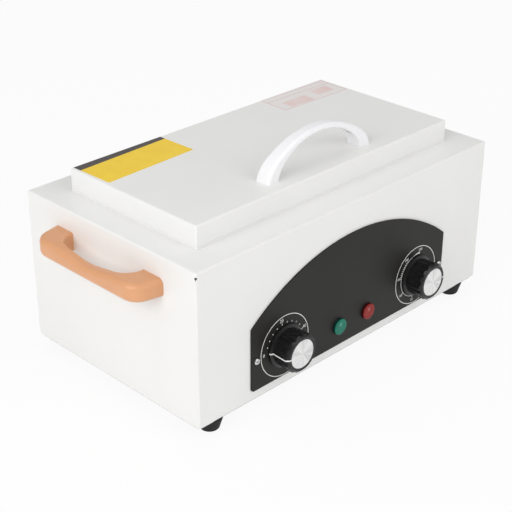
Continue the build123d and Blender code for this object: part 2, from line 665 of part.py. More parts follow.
def lid_handle_plan():
    """The strap seen from above, wide at the feet and narrow at the crown."""
    end = LID_HANDLE_HALF_SPAN
    foot = LID_HANDLE_FOOT_WIDTH / 2
    waist = LID_HANDLE_WAIST_WIDTH / 2
    front = ThreePointArc((-end, -foot), (0, -waist), (end, -foot))
    back = ThreePointArc((-end, foot), (0, waist), (end, foot))
    plan = make_face([front, back, Line(front @ 0, back @ 0), Line(front @ 1, back @ 1)])
    return extrude(Pos(0, LID_HANDLE_Y, LID_TOP) * plan, amount=LID_HANDLE_RISE + 1)


def lid_handle():
    """An arched strap, wider at its feet, with a groove along the inside."""
    outer = arch(LID_HANDLE_RISE, LID_HANDLE_HALF_SPAN)
    inner = arch(LID_HANDLE_RISE - LID_HANDLE_CROWN, LID_HANDLE_INNER_HALF_SPAN)
    feet = [Line(outer[side] @ 1, inner[side] @ 1) for side in (0, 1)]
    front_view = Plane(origin=(0, LID_HANDLE_Y, LID_TOP), x_dir=(1, 0, 0), z_dir=(0, -1, 0))
    strap = extrude(front_view * make_face(outer + inner + feet), amount=LID_HANDLE_FOOT_WIDTH, both=True)
    body = round_lid_handle(strap & lid_handle_plan())
    bottom = arch(LID_HANDLE_RISE - LID_HANDLE_CROWN + LID_HANDLE_GROOVE_DEPTH,
                  LID_HANDLE_INNER_HALF_SPAN + LID_HANDLE_GROOVE_DEPTH)
    groove = make_face(bottom + [Line(bottom[0] @ 1, bottom[1] @ 1)])
    groove = extrude(front_view * groove, amount=LID_HANDLE_GROOVE_WIDTH / 2, both=True)
    feet_zone = plate(2 * LID_HANDLE_HALF_SPAN, 2 * LID_DEPTH, 1.0, LID_TOP - 1,
                      LID_TOP + LID_HANDLE_GROOVE_START)
    body = body - (groove - feet_zone)
    holes = [pillar(x, LID_HANDLE_Y, LID_TOP - 1, LID_TOP + LID_HANDLE_SCREW_DEPTH, M4 + FIT)
             for x in (-LID_HANDLE_FOOT_X, LID_HANDLE_FOOT_X)]
    return body - holes


def round_lid_handle(body):
    """Round the outer edges of the strap, then break the inner ones."""
    outer = sorted(body.edges(), key=lambda e: e.length)[-4:]
    body = fillet(outer, LID_HANDLE_ROUND)
    long_edges = [e for e in body.edges() if e.length > LID_HANDLE_INNER_HALF_SPAN]
    inner = sorted(long_edges, key=lambda e: e.bounding_box().max.Z)[:4]
    return fillet(inner, LID_HANDLE_EDGE)


def lid_handle_screws():
    screw = Rot(180, 0, 0) * pan_screw(M4, LID_SHEET + LID_HANDLE_SCREW_DEPTH - 2)
    level = LID_TOP - LID_SHEET
    return group([Pos(x, LID_HANDLE_Y, level) * screw for x in (-LID_HANDLE_FOOT_X, LID_HANDLE_FOOT_X)])


# Lid hinges

def knuckle_places(first):
    """Middles of every other knuckle along a hinge, from the first one given."""
    middle = (HINGE_KNUCKLES - 1) / 2
    return [(step - middle) * HINGE_KNUCKLE_PITCH for step in range(first, HINGE_KNUCKLES, 2)]


def hinge_leaf(plane, length, offset, knuckles, bore):
    """A leaf rolled round the pin: the plane's x runs along the leaf and its origin is the pin."""
    radius = HINGE_KNUCKLE_RADIUS
    low = (Align.MIN, Align.MIN)
    start = radius + 2 * HINGE_CLEARANCE
    flat = Pos(start, -offset) * Rectangle(length - start, HINGE_SHEET, align=low)
    leaf = extrude(plane * flat, amount=HINGE_WIDTH / 2, both=True)
    roll = Circle(radius) + Pos(0, -offset) * Rectangle(start + 0.5, HINGE_SHEET, align=low)
    roll = roll - Circle(bore)
    roll = extrude(plane * roll, amount=(HINGE_KNUCKLE_PITCH - HINGE_KNUCKLE_GAP) / 2, both=True)
    return leaf + [Pos(across, 0, 0) * roll for across in knuckles]


def hinge_base_leaf(side):
    """The lower leaf, which lies on the rear ledge."""
    plane = Plane(origin=(side * HINGE_X, HINGE_Y, HINGE_Z), x_dir=(0, 1, 0), z_dir=(1, 0, 0))
    leaf = hinge_leaf(plane, HINGE_BASE_LEAF, HINGE_KNUCKLE_RADIUS, knuckle_places(0), HINGE_PIN_RADIUS)
    holes = [pillar(x, y, CASING_TOP - 1, HINGE_Z, RIVET_RADIUS) for x, y in base_rivet_places()]
    return leaf - holes


def hinge_lid_leaf(side):
    """The upper leaf, which stands against the lid's rear wall."""
    plane = Plane(origin=(side * HINGE_X, HINGE_Y, HINGE_Z), x_dir=(0, 0, 1), z_dir=(-1, 0, 0))
    leaf = hinge_leaf(plane, HINGE_LEAF, HINGE_KNUCKLE_RADIUS + HINGE_CLEARANCE, knuckle_places(1),
                      HINGE_PIN_RADIUS + HINGE_RUNNING_FIT)
    across = Rot(90, 0, 0) * Cylinder(RIVET_RADIUS, 4 * HINGE_SHEET)
    return leaf - [Pos(x, LID_REAR_Y, z) * across for x, z in lid_rivet_places()]


def hinge_pins():
    pin = Rot(0, 90, 0) * Cylinder(HINGE_PIN_RADIUS, HINGE_WIDTH + 2 * HINGE_PIN_END)
    pin = fillet(pin.edges(), HINGE_PIN_END)
    return group([Pos(side * HINGE_X, HINGE_Y, HINGE_Z) * pin for side in (-1, 1)])


def rivet(grip):
    """A set rivet: domed head above z = 0, shank, and the tail formed below the sheets."""
    head = Cylinder(RIVET_HEAD_RADIUS, RIVET_HEAD_HEIGHT, align=STANDING)
    head = fillet(head.edges().group_by(Axis.Z)[-1], RIVET_HEAD_HEIGHT * 0.8)
    shank = Cylinder(RIVET_RADIUS, grip, align=HANGING)
    tail = Pos(0, 0, -grip) * Cylinder(1.5 * RIVET_RADIUS, RIVET_TAIL_HEIGHT, align=HANGING)
    return head + shank + tail


def hinge_base_rivets():
    shape = rivet(HINGE_SHEET + CASING_SHEET)
    return group([Pos(x, y, CASING_TOP + HINGE_SHEET) * shape for x, y in base_rivet_places()])


def hinge_lid_rivets():
    shape = Rot(-90, 0, 0) * rivet(HINGE_SHEET + LID_SHEET)
    return group([Pos(x, LID_REAR_Y + HINGE_SHEET, z) * shape for x, z in lid_rivet_places()])


# Side handles

def right_handle():
    """A bow with splayed legs and a waisted top, on the right end wall."""
    half = HANDLE_LENGTH / 2
    out = WALL_X + HANDLE_REACH
    grip = out - HANDLE_GRIP
    leg = HANDLE_LEG_INNER
    outline = Polyline((WALL_X, half), (out, half - HANDLE_SPLAY), (out, HANDLE_SPLAY - half),
                       (WALL_X, -half), (WALL_X, -leg), (grip, 1 - leg), (grip, leg - 1),
                       (WALL_X, leg), close=True)
    face = make_face(outline)
    outer = [v for v in face.vertices() if v.X > out - 0.1]
    face = fillet(outer, HANDLE_OUTER_CORNER)
    inner = [v for v in face.vertices() if abs(v.X - grip) < 0.1 and abs(v.Y) < half - 10]
    face = fillet(inner, HANDLE_INNER_CORNER)
    bow = extrude(Pos(0, MIDDLE_Y, CASING_BOTTOM + HANDLE_BOTTOM) * face,
                  amount=HANDLE_TOP - HANDLE_BOTTOM)
    waist = Spline([(-leg, HANDLE_TOP), (0, HANDLE_TOP - HANDLE_WAIST_DIP), (leg, HANDLE_TOP)],
                   tangents=[(1, 0), (1, 0)])
    sides = Polyline(waist @ 1, (half + 1, HANDLE_TOP), (half + 1, HANDLE_BOTTOM - 1),
                     (-half - 1, HANDLE_BOTTOM - 1), (-half - 1, HANDLE_TOP), waist @ 0)
    end_wall = Plane(origin=(WALL_X, MIDDLE_Y, CASING_BOTTOM), x_dir=(0, 1, 0), z_dir=(1, 0, 0))
    profile = extrude(end_wall * make_face([waist, sides]), amount=HANDLE_REACH + 1)
    body = round_side_handle(bow & profile)
    z = CASING_BOTTOM + (HANDLE_BOTTOM + HANDLE_TOP) / 2
    hole = Rot(0, 90, 0) * Cylinder(M4 + FIT, HANDLE_SCREW_DEPTH, align=STANDING)
    holes = [Pos(WALL_X, MIDDLE_Y + y, z) * hole for y in (-HANDLE_SCREW_Y, HANDLE_SCREW_Y)]
    return body - holes


def round_side_handle(body):
    """Round the outer edges all along the bow, and break the inner ones."""
    def is_long(edge):
        box = edge.bounding_box()
        upright = box.size.Z > HANDLE_WAIST_DIP + 1
        return not upright and box.max.X > WALL_X + 0.01

    def is_outer(edge):
        middle = edge @ 0.5
        beyond_grip = middle.X > WALL_X + HANDLE_REACH - HANDLE_GRIP / 2
        return abs(middle.Y - MIDDLE_Y) > HANDLE_SCREW_Y or beyond_grip

    outer = [e for e in body.edges() if is_long(e) and is_outer(e)]
    body = fillet(outer, HANDLE_ROUND)
    inner = [e for e in body.edges() if is_long(e) and not is_outer(e)]
    inner = [e for e in inner if abs((e @ 0.5).Y - MIDDLE_Y) < HANDLE_LEG_INNER + 0.1]
    inner = [e for e in inner if (e @ 0.5).X < WALL_X + HANDLE_REACH - HANDLE_GRIP + 0.1]
    return fillet(inner, HANDLE_EDGE)


def left_handle():
    return mirror(right_handle(), about=Plane.YZ)


def handle_screws():
    """Four screws from inside the end walls into the handle legs."""
    z = CASING_BOTTOM + (HANDLE_BOTTOM + HANDLE_TOP) / 2
    screw = pan_screw(M4, CASING_SHEET + HANDLE_SCREW_DEPTH - 2)
    screws = []
    for side in (-1, 1):
        for y in (-HANDLE_SCREW_Y, HANDLE_SCREW_Y):
            place = Pos(side * (WALL_X - CASING_SHEET), MIDDLE_Y + y, z)
            screws.append(place * Rot(0, -90 * side, 0) * screw)
    return group(screws)


# Control panel, lamps and knobs

def control_panel():
    side = PANEL_WIDTH / 2
    sides = Polyline((-side, PANEL_SHOULDER), (-side, PANEL_BOTTOM), (side, PANEL_BOTTOM),
                     (side, PANEL_SHOULDER))
    crown = ThreePointArc(sides @ 1, (0, PANEL_CROWN), sides @ 0)
    face = make_face([sides, crown])
    low_corners = face.vertices().group_by(Axis.Y)[0]
    face = fillet(low_corners, PANEL_CORNER)
    return extrude(FRONT * face, amount=PANEL_THICKNESS) - front_holes(4 * PANEL_THICKNESS, M3 + FIT)


def panel_screws():
    screw = cross_screw(M3, PANEL_THICKNESS + CASING_SHEET + 3)
    places = [(-PANEL_SCREW_X, PANEL_SCREW_Z), (PANEL_SCREW_X, PANEL_SCREW_Z)]
    return group([FRONT * Pos(x, z, PANEL_THICKNESS) * screw for x, z in places])


def lamp_lens(x):
    """A moulded lens: a low domed cap on a stem that passes through the panel."""
    cap = Cylinder(LAMP_RADIUS, LAMP_RISE, align=STANDING)
    cap = fillet(cap.edges().group_by(Axis.Z)[-1], LAMP_EDGE)
    stem = Cylinder(LAMP_STEM_RADIUS, LAMP_STEM_LENGTH, align=HANGING)
    bore = Cylinder(LAMP_STEM_RADIUS - LAMP_STEM_WALL, LAMP_STEM_LENGTH, align=HANGING)
    return FRONT * Pos(x, LAMP_Z, PANEL_THICKNESS) * (cap + stem - bore)


def lamp_body(x):
    """A cup that pushes over the lens's stem behind the wall, with two tabs."""
    barrel = Cylinder(LAMP_BODY_RADIUS, LAMP_BODY_LENGTH, align=HANGING)
    socket = Cylinder(LAMP_STEM_RADIUS + FIT, LAMP_STEM_LENGTH, align=HANGING)
    tab = Box(TAB_THICKNESS, TAB_WIDTH * 0.5, TAB_LENGTH, align=HANGING)
    tabs = [Pos(side * LAMP_TAB_SPREAD, 0, -LAMP_BODY_LENGTH) * tab for side in (-1, 1)]
    return FRONT * Pos(x, LAMP_Z, -CASING_SHEET) * (barrel - socket + tabs)


def knob_profile():
    """Half section of the knob: skirt, waisted grip and shoulder, from the hub outwards."""
    top = KNOB_HEIGHT
    grip_start = KNOB_SKIRT_HEIGHT + KNOB_SKIRT_SLOPE
    rim = Polyline((0, KNOB_CAVITY_DEPTH), (KNOB_CAVITY_RADIUS, KNOB_CAVITY_DEPTH),
                   (KNOB_CAVITY_RADIUS, 0), (KNOB_SKIRT_RADIUS, 0),
                   (KNOB_SKIRT_RADIUS, KNOB_SKIRT_HEIGHT), (KNOB_WAIST_RADIUS, grip_start),
                   (KNOB_GRIP_RADIUS, top - KNOB_SHOULDER), (KNOB_GRIP_RADIUS - KNOB_SHOULDER, top),
                   (DISC_SEAT_RADIUS, top), (DISC_SEAT_RADIUS, top - DISC_RECESS),
                   (0, top - DISC_RECESS), close=True)
    return make_face(Plane.XZ * rim)


def shaft_section(clearance):
    """The shaft's round section with its flat."""
    radius = SHAFT_RADIUS + clearance
    above_flat = Rectangle(4 * radius, 2 * radius, align=(Align.CENTER, Align.MIN))
    return Circle(radius) - Pos(0, SHAFT_FLAT + clearance) * above_flat


def knob(x, pointer_angle):
    """A fluted knob with its pointer at an angle from the three o'clock side."""
    body = revolve(knob_profile(), Axis.Z)
    hub = Pos(0, 0, KNOB_HUB_RECESS) * Cylinder(KNOB_HUB_RADIUS, KNOB_CAVITY_DEPTH - KNOB_HUB_RECESS,
                                                align=STANDING)
    bore = extrude(shaft_section(FIT), amount=KNOB_CAVITY_DEPTH)
    flute = Pos(KNOB_GRIP_RADIUS - KNOB_FLUTE_DEPTH + KNOB_FLUTE_RADIUS, 0, KNOB_FLUTE_START)
    flute = flute * Cylinder(KNOB_FLUTE_RADIUS, KNOB_HEIGHT, align=STANDING)
    flutes = [Rot(0, 0, (step + 0.5) * 360 / KNOB_FLUTES) * flute for step in range(KNOB_FLUTES)]
    half = KNOB_POINTER_WIDTH / 2
    pointer = block((KNOB_CAVITY_RADIUS + 1, KNOB_SKIRT_RADIUS), (-half, half),
                    (KNOB_SKIRT_HEIGHT * 0.5, KNOB_HEIGHT - KNOB_SHOULDER))
    keep = revolve(offset_profile(KNOB_POINTER_RISE), Axis.Z)
    body = body + hub - flutes - bore + (pointer & keep)
    return FRONT * Pos(x, DIAL_Z, KNOB_BACK) * Rot(0, 0, pointer_angle) * body


def offset_profile(rise):
    """The knob's outside, a little proud, which the pointer rib follows."""
    top = KNOB_HEIGHT
    outline = Polyline((0, 0), (KNOB_SKIRT_RADIUS, 0), (KNOB_SKIRT_RADIUS, KNOB_SKIRT_HEIGHT + rise),
                       (KNOB_WAIST_RADIUS + rise, KNOB_SKIRT_HEIGHT + KNOB_SKIRT_SLOPE + rise),
                       (KNOB_GRIP_RADIUS + rise, top - KNOB_SHOULDER), (0, top), close=True)
    return make_face(Plane.XZ * outline)


def knob_disc(x):
    """A spun disc with a bevelled rim, let into the knob's face."""
    radius = DISC_SEAT_RADIUS - DISC_CLEARANCE
    level = KNOB_BACK + KNOB_HEIGHT - DISC_RECESS
    outline = Polyline((0, 0), (radius, 0), (radius, DISC_RECESS - DISC_RIM),
                       (radius - DISC_BEVEL, DISC_RECESS), (0, DISC_RECESS), close=True)
    disc = revolve(make_face(Plane.XZ * outline), Axis.Z)
    return FRONT * Pos(x, DIAL_Z, level) * disc


def knob_shaft(x, pointer_angle):
    """The D-cut shaft, from inside the control to the knob's hub."""
    start = -CASING_SHEET - SHAFT_DEPTH
    end = KNOB_BACK + KNOB_CAVITY_DEPTH - SHAFT_END_GAP
    flat_from = KNOB_BACK + KNOB_HUB_RECESS - 0.5
    plain = Pos(0, 0, start) * Cylinder(SHAFT_RADIUS, flat_from - start, align=STANDING)
    flat = Pos(0, 0, flat_from) * extrude(shaft_section(0), amount=end - flat_from)
    return FRONT * Pos(x, DIAL_Z) * Rot(0, 0, pointer_angle) * (plain + flat)


# Thermostat and timer, behind the front wall

def control_bush():
    """The threaded neck that reaches through the wall and the panel."""
    reach = CASING_SHEET + PANEL_THICKNESS + BUSH_STAND
    return Cylinder(BUSH_RADIUS, reach, align=STANDING)


def shaft_bore():
    """The bore that the shaft turns in."""
    depth = SHAFT_DEPTH + SHAFT_BORE_END
    neck = CASING_SHEET + PANEL_THICKNESS + BUSH_STAND
    bore = Cylinder(SHAFT_RADIUS + SHAFT_CLEARANCE, depth + neck + 1, align=STANDING)
    return Pos(0, 0, -depth) * bore


def control_body(x, width, height, depth, step):
    """A control's case: front plate, stepped body, neck, tapped holes and two tabs."""
    front_plate = Box(width, height, CONTROL_PLATE, align=HANGING)
    case = Box(width - 2 * step, height - 2 * step, depth, align=HANGING)
    case = chamfer(case.edges().filter_by(Axis.Z), step)
    tab = Box(TAB_THICKNESS, TAB_WIDTH, TAB_LENGTH, align=(Align.CENTER, Align.CENTER, Align.CENTER))
    tabs = [Pos(side * width / 4, height / 2 - step + TAB_LENGTH / 4, -depth * 0.7) * Rot(90, 0, 0) * tab
            for side in (-1, 1)]
    body = front_plate + case + tabs + control_bush() - shaft_bore()
    for screw_x in (-CONTROL_SCREW_SPREAD, CONTROL_SCREW_SPREAD):
        body = body - Pos(screw_x, 0) * Cylinder(M3 + FIT, CONTROL_TAP_DEPTH, align=HANGING)
    return FRONT * Pos(x, DIAL_Z, -CASING_SHEET) * body


def thermostat_body():
    return control_body(DIAL_X, THERMOSTAT_WIDTH, THERMOSTAT_HEIGHT, THERMOSTAT_DEPTH, THERMOSTAT_STEP)


def timer_body():
    return control_body(-DIAL_X, TIMER_WIDTH, TIMER_WIDTH, TIMER_DEPTH, TIMER_STEP)


def control_screws(x):
    """Two screws from the panel's face into a control, hidden under its knob."""
    screw = pan_screw(M3, PANEL_THICKNESS + CASING_SHEET + CONTROL_TAP_DEPTH - 2)
    return group([FRONT * Pos(screw_x, screw_z, PANEL_THICKNESS) * screw
                  for screw_x, screw_z in control_screw_places(x)])


def thermostat_bulb():
    """The sensing bulb under the chamber floor, and its capillary to the thermostat."""
    level = CHAMBER_UNDERSIDE - ELEMENT_GAP - BULB_RADIUS
    low = level - CAPILLARY_DROP
    entry_y = FRONT_Y + CASING_SHEET + THERMOSTAT_DEPTH
    entry_z = CASING_BOTTOM + DIAL_Z + CAPILLARY_ENTRY_ABOVE_DIAL
    turn_y = entry_y + 3 * CAPILLARY_BEND
    dive_y = MIDDLE_Y - 3 * CAPILLARY_BEND
    path = FilletPolyline((BULB_LENGTH / 2 - 1, MIDDLE_Y, level), (CAPILLARY_X, MIDDLE_Y, level),
                          (CAPILLARY_X, dive_y, low), (CAPILLARY_X, turn_y, low),
                          (DIAL_X, turn_y - 1, entry_z), (DIAL_X, entry_y, entry_z),
                          radius=CAPILLARY_BEND)
    start = Plane(origin=path @ 0, z_dir=path % 0)
    capillary = sweep(start * Circle(CAPILLARY_RADIUS), path=path)
    bulb = Rot(0, 90, 0) * Cylinder(BULB_RADIUS, BULB_LENGTH)
    bulb = fillet(bulb.edges(), BULB_RADIUS * 0.6)
    return Pos(0, MIDDLE_Y, level) * bulb + capillary


def bulb_clips():
    """Saddles that hold the bulb against the floor."""
    level = CHAMBER_UNDERSIDE - ELEMENT_GAP - BULB_RADIUS
    inner_radius = BULB_RADIUS + BULB_CLIP_GAP
    outer_radius = inner_radius + BULB_CLIP_SHEET
    half = BULB_CLIP_WIDTH / 2
    section = Circle(outer_radius)
    section += Pos(0, BULB_RADIUS / 2) * Rectangle(2 * outer_radius, BULB_RADIUS)
    top = CHAMBER_UNDERSIDE - level
    feet = Rectangle(2 * (outer_radius + BULB_CLIP_FOOT), BULB_CLIP_SHEET)
    section += Pos(0, top - BULB_CLIP_SHEET / 2) * feet
    section -= Circle(inner_radius)
    mouth = (Align.CENTER, Align.MIN)
    section -= Rectangle(2 * inner_radius, 2 * outer_radius, align=mouth)
    clips = []
    for x in (-BULB_CLIP_X, BULB_CLIP_X):
        plane = Plane(origin=(x - half, MIDDLE_Y, level), x_dir=(0, 1, 0), z_dir=(1, 0, 0))
        clips.append(extrude(plane * section, amount=BULB_CLIP_WIDTH))
    return group(clips)


# Heating element, shield and insulation

def heating_element():
    """A tube in four runs under the chamber floor, joined by half turns."""
    pitch = ELEMENT_PITCH
    run = ELEMENT_HALF_RUN
    rows = [(step - (ELEMENT_RUNS - 1) / 2) * pitch for step in range(ELEMENT_RUNS)]
    far = run + ELEMENT_COLD_END
    path = Line((far, rows[0]), (-run, rows[0]))
    path += ThreePointArc((-run, rows[0]), (-run - pitch / 2, rows[0] + pitch / 2), (-run, rows[1]))
    path += Line((-run, rows[1]), (run, rows[1]))
    path += ThreePointArc((run, rows[1]), (run + pitch / 2, 0), (run, rows[2]))
    path += Line((run, rows[2]), (-run, rows[2]))
    path += ThreePointArc((-run, rows[2]), (-run - pitch / 2, rows[2] + pitch / 2), (-run, rows[3]))
    path += Line((-run, rows[3]), (far, rows[3]))
    section = Plane(origin=(far, rows[0], 0), z_dir=(-1, 0, 0)) * Circle(ELEMENT_RADIUS)
    tube = sweep(section, path=path)
    pin = Rot(0, 90, 0) * Cylinder(ELEMENT_PIN_RADIUS, ELEMENT_PIN_LENGTH + 1, align=STANDING)
    pins = [Pos(far - 1, row) * pin for row in (rows[0], rows[3])]
    return Pos(0, MIDDLE_Y, ELEMENT_Z) * (tube + pins)


def heater_clamps():
    length = (ELEMENT_RUNS - 1) * ELEMENT_PITCH + 2 * CLAMP_OVERHANG
    bar = Box(CLAMP_WIDTH, length, CLAMP_SHEET, align=HANGING)
    bar = fillet(bar.edges().filter_by(Axis.Z), CLAMP_WIDTH * 0.3)
    for y in (-ELEMENT_PITCH, ELEMENT_PITCH):
        bar = bar - Pos(0, y) * Cylinder(STUD_RADIUS + FIT, 4 * CLAMP_SHEET)
    return group([Pos(x, MIDDLE_Y, CLAMP_TOP) * bar for x in (-CLAMP_X, CLAMP_X)])


def heater_nuts():
    nut = Rot(180, 0, 0) * hex_nut(STUD_RADIUS)
    level = CLAMP_TOP - CLAMP_SHEET
    return group([Pos(side * CLAMP_X, MIDDLE_Y + end * ELEMENT_PITCH, level) * nut
                  for side, end in CORNERS])


def heat_shield():
    """A folded bridge over the base plate that carries the insulation pad."""
    half = SHIELD_WIDTH / 2
    sheet = SHIELD_SHEET
    line = Polyline((-half - SHIELD_FLANGE, CASING_BOTTOM + sheet), (-half, CASING_BOTTOM + sheet),
                    (-half, SHIELD_TOP), (half, SHIELD_TOP), (half, CASING_BOTTOM + sheet),
                    (half + SHIELD_FLANGE, CASING_BOTTOM + sheet))
    lower = Polyline((half + SHIELD_FLANGE, CASING_BOTTOM), (half - sheet, CASING_BOTTOM),
                     (half - sheet, SHIELD_TOP - sheet), (sheet - half, SHIELD_TOP - sheet),
                     (sheet - half, CASING_BOTTOM), (-half - SHIELD_FLANGE, CASING_BOTTOM))
    face = make_face([line, Line(line @ 1, lower @ 0), lower, Line(lower @ 1, line @ 0)])
    plane = Plane(origin=(0, MIDDLE_Y, 0), x_dir=(1, 0, 0), z_dir=(0, -1, 0))
    body = extrude(plane * face, amount=SHIELD_DEPTH / 2, both=True)
    upper_bends = [e for e in body.edges().filter_by(Axis.Y)
                   if abs(abs(e.center().X) - half) < 0.01 and e.center().Z > SHIELD_TOP - 0.01]
    body = fillet(upper_bends, SHIELD_BEND)
    holes = [pillar(x, y, CASING_BOTTOM - 1, CASING_BOTTOM + 3, M3 + FIT) for x, y in shield_screw_places()]
    return body - holes


def base_insulation():
    """A pad of glass fibre on the shield, under the element."""
    width = SHIELD_WIDTH - 2 * PAD_MARGIN
    depth = SHIELD_DEPTH - 2 * PAD_MARGIN
    return plate(width, depth, PAD_CORNER, SHIELD_TOP, SHIELD_TOP + PAD_THICKNESS)


def chamber_insulation():
    """A blanket round the chamber's four walls."""
    inner = 2 * (CHAMBER_SHEET + BLANKET_GAP)
    outer = inner + 2 * BLANKET_THICKNESS
    bottom = CHAMBER_UNDERSIDE + BLANKET_START
    top = CASING_TOP - CASING_SHEET - BLANKET_TOP_GAP
    corner = CHAMBER_CORNER + CHAMBER_SHEET + BLANKET_GAP
    ring = plate(CHAMBER_WIDTH + outer, CHAMBER_DEPTH + outer, corner + BLANKET_THICKNESS, bottom, top)
    return ring - plate(CHAMBER_WIDTH + inner, CHAMBER_DEPTH + inner, corner, bottom - 1, top + 1)


def thermal_cutout():
    """A disc cut-out against the chamber floor, between two runs of the element."""
    flange = Cylinder(CUTOUT_RADIUS + CUTOUT_FLANGE_STEP, CUTOUT_FLANGE, align=HANGING)
    can = Cylinder(CUTOUT_RADIUS, CUTOUT_HEIGHT, align=HANGING)
    tab = Box(TAB_WIDTH * 0.7, TAB_THICKNESS, TAB_LENGTH * 0.6, align=HANGING)
    tabs = [Pos(0, side * CUTOUT_TAB_SPREAD, -CUTOUT_HEIGHT) * tab for side in (-1, 1)]
    return Pos(0, MIDDLE_Y + ELEMENT_PITCH, CHAMBER_UNDERSIDE) * (flange + can + tabs)


# Power inlet and terminal block

def socket_outline(width, height, cut):
    """A rectangle with its two upper corners cut off."""
    x, y = width / 2, height / 2
    return make_face(Polyline((-x, -y), (x, -y), (x, y - cut), (x - cut, y), (cut - x, y), (-x, y - cut),
                              close=True))


def power_inlet():
    """The moulded inlet: a flange on the rear wall and a box behind it, with its socket."""
    flange = RectangleRounded(INLET_FLANGE_WIDTH, INLET_FLANGE_HEIGHT, INLET_FLANGE_CORNER)
    flange = extrude(flange, amount=INLET_FLANGE_THICKNESS)
    flange = fillet(flange.edges().group_by(Axis.Z)[-1], INLET_FLANGE_EDGE)
    box = Box(INLET_BODY_WIDTH, INLET_BODY_HEIGHT, INLET_BODY_DEPTH, align=HANGING)
    opening = socket_outline(INLET_BODY_WIDTH - 2 * INLET_WALL, INLET_BODY_HEIGHT - 2 * INLET_WALL,
                             INLET_CHAMFER)
    hollow_depth = INLET_BODY_DEPTH - INLET_FLOOR + INLET_FLANGE_THICKNESS
    hollow = Pos(0, 0, INLET_FLOOR - INLET_BODY_DEPTH) * extrude(opening, amount=hollow_depth + 1)
    cuts = [Pos(x, 0) * Cylinder(M3 + FIT, 10) for x in (-INLET_SCREW_SPREAD, INLET_SCREW_SPREAD)]
    for x, y in pin_places():
        slot = Box(PIN_WIDTH + 2 * FIT, PIN_HEIGHT + 2 * FIT, 4 * INLET_FLOOR)
        cuts.append(Pos(x, y, -INLET_BODY_DEPTH) * slot)
    return REAR * Pos(-INLET_X, INLET_Z) * (flange + box - hollow - cuts)


def pin_places():
    """Line, neutral and earth pins on the inlet's face."""
    return [(-PIN_SPREAD, -PIN_OFFSET), (PIN_SPREAD, -PIN_OFFSET), (0, PIN_OFFSET)]


def inlet_pins():
    start = -INLET_BODY_DEPTH - TAB_LENGTH
    length = PIN_LENGTH + INLET_FLOOR + TAB_LENGTH
    blade = Box(PIN_WIDTH, PIN_HEIGHT, length, align=STANDING)
    blade = chamfer(blade.edges().group_by(Axis.Z)[-1], 0.5)
    return group([REAR * Pos(x - INLET_X, y + INLET_Z, start) * blade for x, y in pin_places()])


def inlet_screws():
    screw = cross_screw(M3, INLET_FLANGE_THICKNESS + CASING_SHEET + 3)
    return group([REAR * Pos(spread - INLET_X, INLET_Z, INLET_FLANGE_THICKNESS) * screw
                  for spread in (-INLET_SCREW_SPREAD, INLET_SCREW_SPREAD)])


def terminal_block():
    """A three-way block with wire holes and clamp screw wells, on the base plate."""
    x, y = block_screw_place()
    body = Box(BLOCK_LENGTH, BLOCK_DEPTH, BLOCK_HEIGHT, align=STANDING)
    body = fillet(body.edges().filter_by(Axis.Z), BLOCK_CORNER)
    wire_hole = Rot(90, 0, 0) * Cylinder(BLOCK_WIRE_RADIUS, BLOCK_DEPTH + 2)
    well = Cylinder(BLOCK_WELL_RADIUS, BLOCK_WELL_DEPTH, align=HANGING)
    pitch = BLOCK_LENGTH / BLOCK_WAYS
    for way in range(BLOCK_WAYS):
        across = (way - (BLOCK_WAYS - 1) / 2) * pitch
        body = body - Pos(across, 0, BLOCK_WIRE_Z) * wire_hole
        for side in (-1, 1):
            body = body - Pos(across, side * BLOCK_DEPTH / 4, BLOCK_HEIGHT) * well
    body = body - Cylinder(M3 + FIT, 4.0, align=STANDING)
    return Pos(x, y, CASING_BOTTOM) * body


# Every node and its shape

